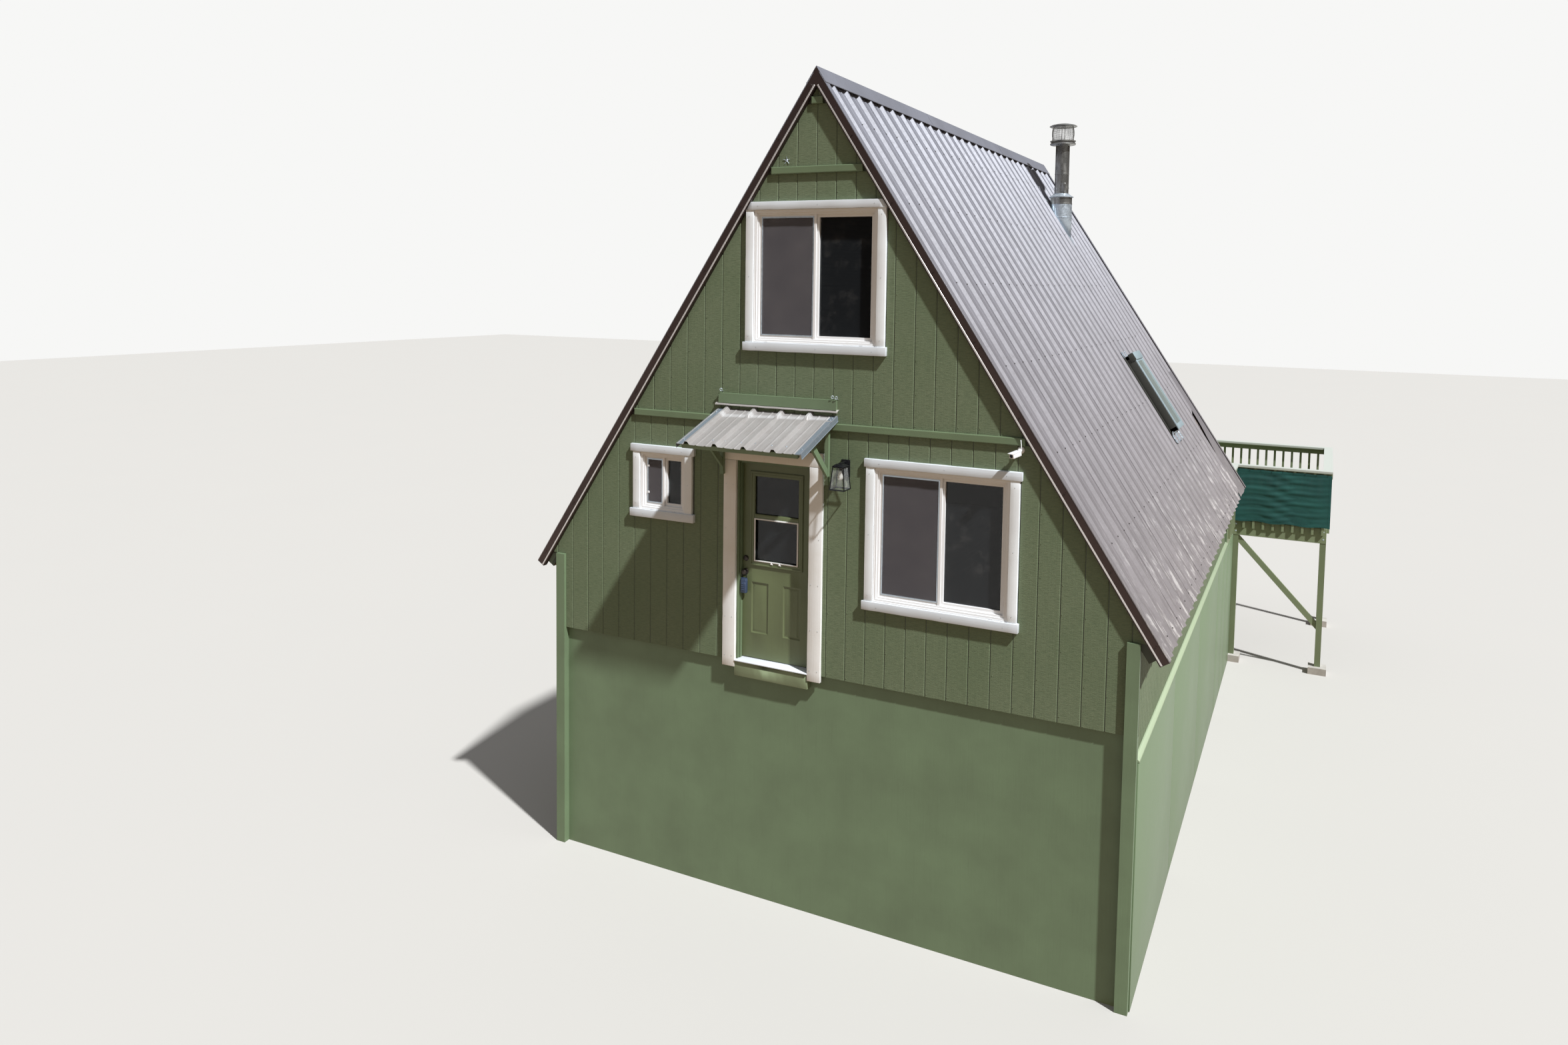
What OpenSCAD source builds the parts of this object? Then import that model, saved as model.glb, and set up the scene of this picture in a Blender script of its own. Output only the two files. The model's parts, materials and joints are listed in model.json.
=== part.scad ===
// A-frame cabin with a ribbed metal roof, a small entry awning and a raised rear deck.
// Millimetres, +Z up. The front gable faces -Y. The origin lies under the ridge line,
// on the underside of the front foundation wall.

/* [Main frame] */
// Height of the siding's bottom edge and main floor above the lowest ground
base_h = 2450; // [600:10:3000]
// Half width of the gable wall over its corner boards
half_w = 3085; // [2400:5:3600]
// Length of the walls from siding face to siding face
body_l = 8830; // [6000:10:12000]
// Roof pitch in degrees
pitch = 57; // [45:0.5:65]
// Height of the ridge, at the top of the ribs, above the main floor
ridge_h = 5835; // [4500:5:7000]
// Length of the roof slope from the ridge to the metal's lower edge
slope_l = 6110; // [4500:5:7500]
// Depth of rafters and sheathing together
roof_t = 140; // [90:5:300]
// Thickness of the framed walls
wall_t = 120; // [90:5:200]
// Height of the loft ceiling line above the main floor
loft_z = 2420; // [2100:10:2800]
// Depth of the loft floor with its joists
loft_t = 200; // [120:5:300]
// Depth of the main floor with its joists
floor_t = 230; // [120:5:350]

/* [Ribbed metal] */
// Distance from rib to rib
rib_pitch = 304.8; // [200:0.1:400]
// Height of a rib
rib_h = 32; // [15:1:50]
// Width of a rib at its base
rib_base = 66; // [30:1:120]
// Width of a rib at its top
rib_top = 26; // [10:1:60]
// Height of the low ribs between the ribs
minor_h = 5; // [2:0.5:12]
// Width of a low rib at its base
minor_base = 24; // [12:1:40]
// Width of a low rib at its top
minor_top = 10; // [4:1:20]
// Drawn thickness of the sheet
sheet_t = 4; // [1:0.5:8]
// Width of the ridge cap down each slope
cap_w = 175; // [100:5:300]
// Visible depth of the rake trim
rake_d = 95; // [60:5:200]
// How far the rake trim stands in front of the siding
rake_out = 55; // [20:5:120]

/* [Front door] */
// Left side of the doorway
door_x0 = -829; // [-1400:1:-200]
// Right side of the doorway
door_x1 = -16; // [-900:1:600]
// Height of the doorway
door_h = 2048; // [1900:1:2300]
// Width of the door slab
slab_w = 762; // [600:1:1000]
// Height of the door slab
slab_h = 2000; // [1800:1:2200]
// Thickness of the door slab
slab_t = 44; // [35:1:60]
// Clear gap round the slab
gap = 5; // [3:0.5:10]
// Width of the door casing boards
casing_w = 140; // [80:5:200]

/* [Windows] */
// Width of the trim boards round the windows
trim_w = 86; // [50:1:140]
// How far trim boards stand in front of the siding
trim_out = 38; // [15:1:60]
// Thickness of a pane
pane_t = 6; // [4:1:24]
// Width of the stepped frame round the sashes
frame_w = 46; // [30:1:80]
// Width of the sash bars round the panes
sash_w = 32; // [20:1:60]

/* [Awning] */
// Left edge of the awning
awn_x0 = -1052; // [-1500:1:-900]
// Right edge of the awning
awn_x1 = 258; // [100:1:700]
// Height of the awning's upper edge above the main floor
awn_top = 2550; // [2300:5:2900]
// Drop of the awning from wall to outer edge
awn_drop = 262; // [100:5:500]
// Reach of the awning in front of the siding
awn_reach = 790; // [400:10:1200]

/* [Rear deck] */
// Depth of the foundation behind the gable wall that carries the first part of the deck
ledge_l = 1170; // [300:10:2000]
// Depth of the deck beyond the foundation
deck_l = 2940; // [1500:10:4500]
// Right edge of the deck
deck_x1 = 4490; // [3100:10:5500]
// Depth of the rim joist
rim_h = 286; // [180:1:300]
// Height of the rail above the deck
rail_h = 865; // [800:5:1100]
// Distance from baluster to baluster
bal_pitch = 147; // [100:1:200]

/* [View] */
// Which sub-part to build

/* [Hidden] */
Z0 = base_h;
zr = Z0 + ridge_h;
ct = cos(pitch);
st = sin(pitch);
tn = tan(pitch);
yf = -60;
seat = 1;
yr = yf + body_l;
pan_d = rib_h + sheet_t;
top_d = pan_d + seat;
under_d = pan_d + roof_t;
tail_s = slope_l - 50;
skirt_top = Z0 - floor_t;
side_x = half_w - 30;
deck_y0 = yr + ledge_l;
deck_y1 = deck_y0 + deck_l;
deck_z = Z0 - 10;
rib_n = ceil(body_l / rib_pitch);
frame_in = frame_w - 1;
pane_in = frame_in + sash_w;
flue_x = 640;
flue_y = 7340;
slab_x1 = (door_x0 + door_x1) / 2 + slab_w / 2;
slab_x0 = slab_x1 - slab_w;
slab_y = 14;
slab_z = Z0 + 28;
awn_a = atan(awn_drop / awn_reach);

// A point of the roof section: distance s down the slope, depth d under the rib tops
function rp(s, d) = [s * ct - d * st, zr - s * st - d * ct];

// The same point on the left slope
function lp(s, d) = [-rp(s, d)[0], rp(s, d)[1]];

// Height of a plane of the roof at distance x from the ridge line
function roof_z(x, d) = zr - d / ct - abs(x) * tn;

// An outline in X and Z, drawn out from y0 to y1
module prism(pts, y0, y1) {
  translate([0, y1, 0]) rotate([90, 0, 0]) linear_extrude(y1 - y0) polygon(pts);
}

// A box between two corners
module block(a, b) {
  translate(a) cube([b[0] - a[0], b[1] - a[1], b[2] - a[2]]);
}

// Outline of the gable siding, out to the rafter ends
module gable_siding(y0, y1) {
  prism([[0, zr - top_d / ct], rp(tail_s, top_d), rp(tail_s, under_d),
    [half_w, roof_z(half_w, under_d)], [half_w, Z0], [-half_w, Z0],
    [-half_w, roof_z(half_w, under_d)], lp(tail_s, under_d), lp(tail_s, top_d)], y0, y1);
}

// Outline of the framed gable wall under the rafters
module gable_frame(y0, y1) {
  prism([[0, zr - under_d / ct], [side_x, roof_z(side_x, under_d)], [side_x, Z0],
    [-side_x, Z0], [-side_x, roof_z(side_x, under_d)]], y0, y1);
}

// The front gable wall with its window openings
module front_gable() {
  difference() {
    union() {
      gable_siding(yf, yf + 16);
      gable_frame(yf + 16, yf + wall_t);
    }
    block([-1985, -200, Z0 + 1435], [-1435, 200, Z0 + 2038]);
    block([654, -200, Z0 + 828], [1940, 200, Z0 + 2105]);
    block([-658, -200, Z0 + 3232], [638, 200, Z0 + 4518]);
  }
}

// Front foundation wall, set back under the siding
module foundation_front() {
  color([0.33, 0.39, 0.27])
  union() {
    block([-2985, -20, 0], [2985, 60, Z0]);
    block([-side_x, -20, skirt_top], [side_x, 60, Z0]);
  }
}

// Rear foundation wall under the first part of the deck
module foundation_rear() {
  color([0.33, 0.39, 0.27])
  block([-2985, deck_y0 - 100, 0], [2985, deck_y0, deck_z - rim_h]);
}

// Smooth lower side wall, down to the lowest ground, lower where it carries the deck
module skirt_right() {
  color([0.40, 0.50, 0.34])
  translate([2985, 0, 0]) rotate([90, 0, 90]) linear_extrude(half_w - 2985)
  polygon([[-20, 0], [deck_y0, 0], [deck_y0, deck_z - rim_h], [yr + trim_out + 4,
    deck_z - rim_h], [yr + trim_out + 4, skirt_top], [-20, skirt_top]]);
}

module skirt_left() {
  mirror([1, 0, 0]) skirt_right();
}

// Main floor with its joists
module main_floor() {
  color([0.55, 0.42, 0.28])
  block([-side_x + 110, yf + wall_t, skirt_top], [side_x - 110, yr - wall_t, Z0]);
}

// Loft floor, cut to the slope of the rafters
module loft_floor() {
  xa = (zr - under_d / ct - Z0 - loft_z) / tn;
  xb = (zr - under_d / ct - Z0 - loft_z - loft_t) / tn;
  color([0.58, 0.45, 0.30])
  prism([[-xa, Z0 + loft_z], [xa, Z0 + loft_z], [xb, Z0 + loft_z + loft_t],
    [-xb, Z0 + loft_z + loft_t]], yf + wall_t, yr - wall_t);
}

// Front wall to the left of the doorway
module front_wall_left() {
  color([0.36, 0.45, 0.30])
  intersection() {
    front_gable();
    block([-4000, -200, Z0], [door_x0, 200, Z0 + door_h]);
  }
}

// Front wall to the right of the doorway
module front_wall_right() {
  color([0.36, 0.45, 0.30])
  intersection() {
    front_gable();
    block([door_x1, -200, Z0], [4000, 200, Z0 + door_h]);
  }
}

// Front wall over the doorway, up to the ridge
module front_wall_upper() {
  color([0.36, 0.45, 0.30])
  intersection() {
    front_gable();
    block([-4000, -200, Z0 + door_h], [4000, 200, zr]);
  }
}

// Rear gable wall
module rear_wall() {
  color([0.36, 0.45, 0.30])
  union() {
    gable_siding(yr - 16, yr);
    gable_frame(yr - wall_t, yr - 16);
    block([-side_x, yr - wall_t, skirt_top], [side_x, yr, Z0]);
  }
}

// Low side walls under the eaves
module side_wall_right() {
  x0 = side_x - 110;
  color([0.36, 0.45, 0.30])
  prism([[x0, skirt_top], [side_x, skirt_top], [side_x, roof_z(side_x, under_d)],
    [x0, roof_z(x0, under_d)]], yf + wall_t, yr - wall_t);
}

module side_wall_left() {
  x0 = side_x - 110;
  color([0.36, 0.45, 0.30])
  prism([[-x0, skirt_top], [-side_x, skirt_top], [-side_x, roof_z(side_x, under_d)],
    [-x0, roof_z(x0, under_d)]], yf + wall_t, yr - wall_t);
}

// Opening for the roof window, in the plane of the right slope
module skylight_hole() {
  translate([0, 0, zr]) rotate([0, pitch, 0])
  block([3600, 5850, -400], [4660, 6280, 200]);
}

// Rafters and sheathing of each slope as one slab
module roof_deck(side) {
  prism([[0, zr - top_d / ct], [side * rp(tail_s, top_d)[0], rp(tail_s, top_d)[1]],
    [side * rp(tail_s, under_d)[0], rp(tail_s, under_d)[1]], [0, zr - under_d / ct]],
    yf + 16, yr - 16);
}

module roof_deck_right() {
  color([0.45, 0.36, 0.26])
  difference() {
    roof_deck(1);
    skylight_hole();
  }
}

module roof_deck_left() {
  color([0.45, 0.36, 0.26])
  roof_deck(-1);
}

// Outline of one rib: its foot, its two upper corners and its other foot
function rib(c, base, top, h, z) = [[c - base / 2, z], [c - top / 2, z + h],
  [c + top / 2, z + h], [c + base / 2, z]];

// A rib every pitch p from a on, with two low ribs between, as far as they fit in the width w
function rib_line(w, n, a, p, z) = [for (k = [-2 : 3 * n])
  let (c = a + k * p / 3, high = k % 3 == 0, base = high ? rib_base : minor_base)
  if (c - base / 2 > 1 && c + base / 2 < w - 1)
  each rib(c, base, high ? rib_top : minor_top, high ? rib_h : minor_h, z)];

function reversed(v) = [for (i = [len(v) - 1 : -1 : 0]) v[i]];

// A ribbed sheet: w across the ribs along Y, l along X, flat underside at z = 0
module ribbed_sheet(w, l, n, a, p) {
  pts = concat([[0, sheet_t]], rib_line(w, n, a, p, sheet_t), [[w, sheet_t], [w, 0]],
    reversed(rib_line(w, n, a, p, 0)), [[0, 0]]);
  rotate([90, 0, 90]) linear_extrude(l) polygon(pts);
}

// Ribbed metal on each slope
module roofing() {
  translate([0, yf + seat, zr]) rotate([0, pitch, 0]) translate([62, 0, -pan_d])
    ribbed_sheet(body_l - 2 * seat, slope_l - 62, rib_n, 149, rib_pitch);
}

module roofing_right() {
  color([0.50, 0.46, 0.44])
  difference() {
    roofing();
    skylight_hole();
  }
}

module roofing_left() {
  color([0.50, 0.46, 0.44])
  mirror([1, 0, 0]) roofing();
}

// Folded cap over the ridge
module ridge_cap() {
  color([0.48, 0.44, 0.42])
  prism([[0, zr + 6 / ct], rp(cap_w, -6), rp(cap_w, -seat), [0, zr + seat / ct],
    lp(cap_w, -seat), lp(cap_w, -6)], yf - rake_out, yr + rake_out);
}

// Brown metal trim along both rakes of a gable
module rake_trim(y0, y1) {
  prism([[0, zr], rp(slope_l, 0), rp(slope_l, rake_d), [0, zr - rake_d / ct],
    lp(slope_l, rake_d), lp(slope_l, 0)], y0, y1);
}

module rake_trim_front() {
  color([0.22, 0.15, 0.12])
  rake_trim(yf - rake_out, yf);
}

module rake_trim_rear() {
  color([0.22, 0.15, 0.12])
  rake_trim(yr, yr + rake_out);
}

// Upright boards at the four corners, the front ones down to the ground
module corner_boards() {
  color([0.40, 0.50, 0.34])
  union() {
    for (xa = [-half_w, half_w - 110]) {
      block([xa, yf - trim_out, 0], [xa + 110, yf, Z0 + 820]);
      block([xa, yf, 0], [xa + 110, -20, Z0]);
      block([xa, yr, skirt_top], [xa + 110, yr + trim_out, Z0 + 820]);
    }
  }
}

// Level boards across both gables
module belt_boards() {
  color([0.38, 0.47, 0.32])
  union() {
    for (z = [2418, 4855, 5500]) {
      xb = (zr - rake_d / ct - Z0 - z - 68) / tn;
      block([-xb, yr, Z0 + z], [xb, yr + trim_out - 6, Z0 + z + 68]);
      block([-xb, yf - trim_out + 6, Z0 + z], [xb, yf, Z0 + z + 68]);
    }
  }
}

// Jambs, stops, threshold and the board under the threshold
module door_frame() {
  j = (door_x1 - door_x0 - slab_w) / 2 - gap;
  color([0.38, 0.48, 0.32])
  union() {
    block([door_x0, yf, Z0 + 20], [door_x0 + j, 60, Z0 + door_h]);
    block([door_x1 - j, yf, Z0 + 20], [door_x1, 60, Z0 + door_h]);
    block([door_x0 + j, yf, slab_z + slab_h + gap], [door_x1 - j, 60, Z0 + door_h]);
    block([door_x0 + j, -30, Z0 + 20], [door_x0 + j + 12, slab_y - gap, Z0 + door_h]);
    block([door_x1 - j - 12, -30, Z0 + 20], [door_x1 - j, slab_y - gap, Z0 + door_h]);
    block([door_x0 + j, -30, slab_z + slab_h - 12], [door_x1 - j, slab_y - gap, Z0 + door_h]);
    block([door_x0, yf - 45, Z0], [door_x1, 60, Z0 + 20]);
    block([door_x0, yf - 30, Z0 - 150], [door_x1, -20, Z0]);
  }
}

// White casing boards round the doorway
module door_casing() {
  color([0.90, 0.89, 0.87])
  union() {
    block([door_x0 - casing_w, yf - trim_out, Z0 - 60], [door_x0, yf, Z0 + door_h]);
    block([door_x1, yf - trim_out, Z0 - 60], [door_x1 + casing_w, yf, Z0 + door_h]);
    block([door_x0 - casing_w, yf - trim_out, Z0 + door_h],
      [door_x1 + casing_w, yf, Z0 + door_h + 140]);
  }
}

// Raised middle of a door panel, w wide and h high, with sloping edges, in front of y = 0
module raised_field(w, h) {
  intersection() {
    linear_extrude(h, center = true)
      polygon([[-w / 2, 0], [16 - w / 2, -6], [w / 2 - 16, -6], [w / 2, 0]]);
    rotate([0, 90, 0]) linear_extrude(w, center = true)
      polygon([[-h / 2, 0], [16 - h / 2, -6], [h / 2 - 16, -6], [h / 2, 0]]);
  }
}

// Panelled door slab with its glazing opening and the moulding round it
module door_slab() {
  color([0.37, 0.46, 0.31])
  union() {
    difference() {
      union() {
        block([slab_x0, slab_y, slab_z], [slab_x1, slab_y + slab_t, slab_z + slab_h]);
        block([slab_x0 + 86, slab_y - 10, Z0 + 976], [slab_x1 - 86, slab_y + slab_t + 10, Z0 + 1937]);
      }
      for (y = [slab_y - 20, slab_y + slab_t + 4])
        block([slab_x0 + 104, y, Z0 + 994], [slab_x1 - 104, y + 16, Z0 + 1919]);
      block([slab_x0 + 138, slab_y - 20, Z0 + 1503],
        [slab_x1 - 138, slab_y + slab_t + 20, Z0 + 1893]);
      block([slab_x0 + 138, slab_y - 20, Z0 + 1030],
        [slab_x1 - 138, slab_y + slab_t + 20, Z0 + 1455]);
      for (x = [slab_x0 + 97, slab_x1 - 307], y = [slab_y - 6, slab_y + slab_t - 6])
        block([x, y, Z0 + 276], [x + 210, y + 12, Z0 + 817]);
    }
    for (x = [slab_x0 + 202, slab_x1 - 202]) {
      translate([x, slab_y + 7, Z0 + 546.5]) raised_field(166, 497);
      translate([x, slab_y + slab_t - 7, Z0 + 546.5]) rotate(180) raised_field(166, 497);
    }
  }
}

// Upper and lower panes in the door
module door_glass() {
  color([0.35, 0.40, 0.38, 0.5])
  union() {
    block([slab_x0 + 138, slab_y + 19, Z0 + 1503],
      [slab_x1 - 138, slab_y + 25, Z0 + 1893]);
    block([slab_x0 + 138, slab_y + 19, Z0 + 1030],
      [slab_x1 - 138, slab_y + 25, Z0 + 1455]);
  }
}

// Door knob on its rose, turned about Z
module knob() {
  rotate_extrude($fn = 32)
    polygon([[0, 0], [31, 0], [31, 4], [26, 9], [12, 14], [11, 30], [20, 36], [26.5, 43],
      [26.5, 51], [21, 56], [0, 58]]);
}

// Deadbolt, knobs, hinges and the lock box that hangs on the outer knob
module door_hardware() {
  x = slab_x0 + 40;
  hx = slab_x1 + 2.5;
  hy = slab_y + slab_t + 13;
  bow = [x, slab_y - 24, Z0 + 896];
  color([0.25, 0.22, 0.20])
  union() {
    translate([x, slab_y, Z0 + 1040]) rotate([90, 0, 0]) rotate_extrude($fn = 32)
      polygon([[0, 0], [29, 0], [29, 6], [24, 13], [22, 18], [0, 18]]);
    translate([x, slab_y, Z0 + 905]) rotate([90, 0, 0]) knob();
    translate([x, slab_y + slab_t, Z0 + 905]) rotate([-90, 0, 0]) knob();
    translate([x, slab_y - 24, Z0 + 692]) linear_extrude(144)
      offset(r = 8, $fn = 16) square([50, 26], center = true);
    block([x - 29, slab_y - 38, Z0 + 830], [x + 29, slab_y - 10, Z0 + 846]);
    block([x - 24, slab_y - 48, Z0 + 715], [x + 24, slab_y - 40, Z0 + 800]);
    translate(bow) rotate([90, 0, 0]) rotate_extrude(angle = 180, $fn = 32)
      translate([24, 0]) circle(r = 4.5, $fn = 12);
    for (sx = [-24, 24])
      translate(bow + [sx, 0, -56]) cylinder(h = 56.5, r = 4.5, $fn = 12);
    for (z = [200, 1000, 1800]) {
      translate([hx, hy, Z0 + z]) cylinder(h = 90, r = 6, $fn = 24);
      block([slab_x1 - 45, slab_y + slab_t, Z0 + z], [slab_x1, slab_y + slab_t + 3, Z0 + z + 90]);
      block([slab_x1 - 6, slab_y + slab_t, Z0 + z], [slab_x1, hy, Z0 + z + 90]);
    }
  }
}

// Bars of one sash between x0 and x1, from y0 to y1
module sash(x0, x1, z0, z1, y0, y1) {
  difference() {
    block([x0, y0, Z0 + z0], [x1, y1, Z0 + z1]);
    block([x0 + sash_w, y0 - 9, Z0 + z0 + sash_w], [x1 - sash_w, y1 + 9, Z0 + z1 - sash_w]);
  }
}

// A window unit: head board, sill, side boards, a frame that steps back three times, the
// front sash on the left, the rear one on the right, and the strip where they meet
module window_unit(cx, z0, z1, w, ear) {
  x0 = cx - w / 2;
  x1 = cx + w / 2;
  union() {
    block([x0 - trim_w - ear, yf - trim_out - 6, Z0 + z1],
      [x1 + trim_w + ear, yf, Z0 + z1 + 78]);
    block([x0 - trim_w - ear, yf - trim_out - 12, Z0 + z0 - 84],
      [x1 + trim_w + ear, yf, Z0 + z0]);
    block([x0 - trim_w, yf - trim_out, Z0 + z0], [x0, yf, Z0 + z1]);
    block([x1, yf - trim_out, Z0 + z0], [x1 + trim_w, yf, Z0 + z1]);
    difference() {
      block([x0, yf - 26, Z0 + z0], [x1, 40, Z0 + z1]);
      for (step = [[10, yf - 22], [28, yf - 6], [frame_w, 60]])
        block([x0 + step[0], yf - 50, Z0 + z0 + step[0]], [x1 - step[0], step[1], Z0 + z1 - step[0]]);
    }
    sash(x0 + frame_in, cx - 1, z0 + frame_in, z1 - frame_in, yf + 8, 16);
    sash(cx - 1, x1 - frame_in, z0 + frame_in, z1 - frame_in, yf + 20, 26);
    block([cx - 14, yf + 1, Z0 + z0 + frame_in], [cx + 10, yf + 28, Z0 + z1 - frame_in]);
  }
}

// Both panes of a window
module window_panes(cx, z0, z1, w) {
  block([cx - w / 2 + pane_in, -20, Z0 + z0 + pane_in], [cx - 1 - sash_w, -20 + pane_t, Z0 + z1 - pane_in]);
  block([cx - 1 + sash_w, -10, Z0 + z0 + pane_in], [cx + w / 2 - pane_in, -10 + pane_t, Z0 + z1 - pane_in]);
}

module small_window() {
  color([0.92, 0.92, 0.92])
  window_unit(-1710, 1435, 2038, 550, 30);
}

module small_window_glass() {
  color([0.20, 0.22, 0.24, 0.5])
  window_panes(-1710, 1435, 2038, 550);
}

module large_window() {
  color([0.92, 0.92, 0.92])
  window_unit(1297, 828, 2105, 1286, 20);
}

module large_window_glass() {
  color([0.20, 0.22, 0.24, 0.5])
  window_panes(1297, 828, 2105, 1286);
}

// The space under a plane of the roof, d under the rib tops
module under_roof(d, y0, y1) {
  prism([[0, zr - d / ct], [2000, roof_z(2000, d)], [-2000, roof_z(2000, d)]], y0, y1);
}

// The upper window's head board is cut along the rake trim
module upper_window() {
  color([0.92, 0.92, 0.92])
  intersection() {
    window_unit(-10, 3232, 4518, 1296, 20);
    union() {
      under_roof(rake_d + 3, yf - 200, yf + 14);
      under_roof(under_d + 2, yf + 13, 200);
    }
  }
}

module upper_window_glass() {
  color([0.20, 0.22, 0.24, 0.5])
  window_panes(-10, 3232, 4518, 1296);
}

// A point of the awning's side view, in Y and Z: y along its slope, z square to it
function ap(y, z) = [yf - 6 + y * cos(awn_a) - z * sin(awn_a),
  Z0 + awn_top + y * sin(awn_a) + z * cos(awn_a)];

// Places what lies in the plane of the awning: x across, -y down the slope, z = 0 under the sheet
module on_awning() {
  translate([0, yf - 6, Z0 + awn_top]) rotate([awn_a, 0, 0]) children();
}

// Ledger, rafters, outer board and diagonal brackets of the awning
module awning_frame() {
  l = awn_reach / cos(awn_a);
  color([0.40, 0.50, 0.34])
  union() {
    block([awn_x0 + 15, yf - 38, Z0 + awn_top + 62], [awn_x1 - 8, yf, Z0 + awn_top + 160]);
    block([awn_x0 + 70, yf - 62, Z0 + awn_top - 58], [awn_x1 - 70, yf, Z0 + awn_top - 24]);
    on_awning() {
      for (x = [awn_x0 + 60, (awn_x0 + awn_x1) / 2 - 19, awn_x1 - 98])
        translate([x, 0, 0]) rotate([90, 0, 90]) linear_extrude(38)
          polygon([[-56, 0], [-56, -82], [-520, -82], [40 - l, -40], [40 - l, 0]]);
      block([awn_x0 + 45, 20 - l, -46], [awn_x1 - 45, 58 - l, 0]);
    }
    for (x = [awn_x0 + 62, awn_x1 - 96]) {
      block([x, yf - 76, Z0 + 1900], [x + 34, yf - 38, Z0 + awn_top - 64]);
      translate([x + 4, 0, 0]) rotate([90, 0, 90]) linear_extrude(26)
        polygon([[yf - 60, Z0 + 1960], [yf - 60, Z0 + 2040], ap(-430, -75), ap(-500, -75)]);
    }
  }
}

// Ribbed metal sheet of the awning
module awning_roofing() {
  l = awn_reach / cos(awn_a);
  color([0.62, 0.58, 0.56])
  translate([awn_x0, yf - 6, Z0 + awn_top]) rotate([0, 0, -90]) rotate([0, awn_a, 0])
    ribbed_sheet(awn_x1 - awn_x0, l, 4, 114, 304.8);
}

// Galvanized flashings along both sides of the awning and along the wall
module awning_flashing() {
  l = awn_reach / cos(awn_a);
  color([0.62, 0.66, 0.70])
  union() {
    block([awn_x0 - 20, yf - 52, Z0 + awn_top + 45], [awn_x1 + 12, yf, Z0 + awn_top + 62]);
    on_awning() {
      block([awn_x0 - 4, -l - 4, -42], [awn_x0, -26, sheet_t + 3]);
      block([awn_x0, -l - 4, sheet_t], [awn_x0 + 64, -2, sheet_t + 3]);
      block([awn_x1, -l - 4, -42], [awn_x1 + 4, -26, sheet_t + 3]);
      block([awn_x1 - 64, -l - 4, sheet_t], [awn_x1, -2, sheet_t + 3]);
    }
  }
}

// A four-sided cone on z = 0, with half width a at its foot and b at its top
module square_cone(h, a, b) {
  rotate(45) cylinder(h = h, r1 = a * sqrt(2), r2 = b * sqrt(2), $fn = 4);
}

// Lantern on the wall to the right of the door: a tapered cage, its cap, arm and bulb
module wall_lantern() {
  color([0.05, 0.05, 0.06])
  union() {
    block([305, yf - 20, Z0 + 1985], [395, yf, Z0 + 2150]);
    block([338, yf - 147, Z0 + 2116], [362, yf - 10, Z0 + 2138]);
    translate([350, yf - 135, Z0 + 2096]) square_cone(24, 82, 46);
    translate([350, yf - 135, Z0 + 1880]) difference() {
      square_cone(218, 80, 59);
      translate([0, 0, -1]) square_cone(220, 72, 51);
      for (a = [0, 90]) rotate(a) rotate([90, 0, 0]) linear_extrude(200, center = true)
        polygon([[-69, 9], [69, 9], [49, 210], [-49, 210]]);
    }
    translate([350, yf - 135, Z0 + 2000]) rotate_extrude($fn = 24)
      polygon([[0, -30], [18, -24], [28, -8], [27, 8], [16, 30], [16, 98], [0, 98]]);
  }
}

// Box camera with a hood and a short aerial, on a ball joint under the right rake
module security_camera() {
  color([0.90, 0.90, 0.92])
  union() {
    translate([2020, yf, Z0 + 2378]) rotate([90, 0, 0]) rotate_extrude($fn = 32)
      polygon([[0, 0], [32, 0], [32, 6], [26, 14], [12, 22], [12, 55], [0, 55]]);
    translate([2020, yf - 56, Z0 + 2378]) sphere(r = 19, $fn = 24);
    translate([2016, yf - 62, Z0 + 2358]) rotate([10, 0, -25]) {
      block([-26, -104, -24], [26, 6, 22]);
      block([-29, -118, 20], [29, 0, 25]);
    }
    translate([2038, yf - 55, Z0 + 2378]) rotate([3, -7, 0]) cylinder(h = 95, r = 4.5, $fn = 12);
  }
}

// Galvanized cylinder flashing between the roof and the flue, with its storm collar
module chimney_flashing() {
  color([0.66, 0.72, 0.76])
  union() {
    difference() {
      translate([flue_x, flue_y, Z0 + 4540]) cylinder(h = 640, r = 162, $fn = 48);
      prism([rp(-400, 0), rp(3500, 0), rp(3500, 1500), rp(-400, 1500)], 7000, 7700);
    }
    translate([flue_x, flue_y, Z0 + 5180]) cylinder(h = 45, r1 = 178, r2 = 112, $fn = 48);
  }
}

// Flue pipe with a double flange, the bars and hoops of its spark screen, and a domed cap
module chimney() {
  color([0.60, 0.60, 0.60])
  translate([flue_x, flue_y, Z0])
  union() {
    rotate_extrude($fn = 36)
      polygon([[0, 5225], [104, 5225], [104, 5520], [107, 5523], [107, 5534], [104, 5537],
        [104, 5955], [120, 5955], [183, 5966], [192, 5978], [190, 5988], [176, 5996],
        [176, 6010], [190, 6016], [192, 6026], [0, 6030]]);
    for (i = [0 : 19]) rotate(18 * i) translate([154, -3, 6020]) cube([6, 6, 222]);
    for (z = [6095, 6170]) translate([0, 0, z]) rotate_extrude($fn = 36)
      polygon([[152, 0], [162, 0], [162, 6], [152, 6]]);
    rotate_extrude($fn = 36)
      polygon([[0, 6236], [196, 6236], [205, 6243], [204, 6250], [172, 6264], [120, 6277],
        [62, 6286], [0, 6290]]);
  }
}

// Raised curb of the roof window, with its cover frame, head box and lower apron
module skylight() {
  color([0.30, 0.31, 0.32])
  translate([0, 0, zr]) rotate([0, pitch, 0])
  difference() {
    union() {
      block([3540, 5790, 0], [4720, 6340, 84]);
      block([3600, 5783, 78], [4726, 6347, 100]);
      block([3526, 5780, 34], [3640, 6350, 100]);
      block([4700, 5770, 0], [4870, 6360, 5]);
    }
    block([3600, 5850, -10], [4660, 6280, 200]);
  }
}

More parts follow.
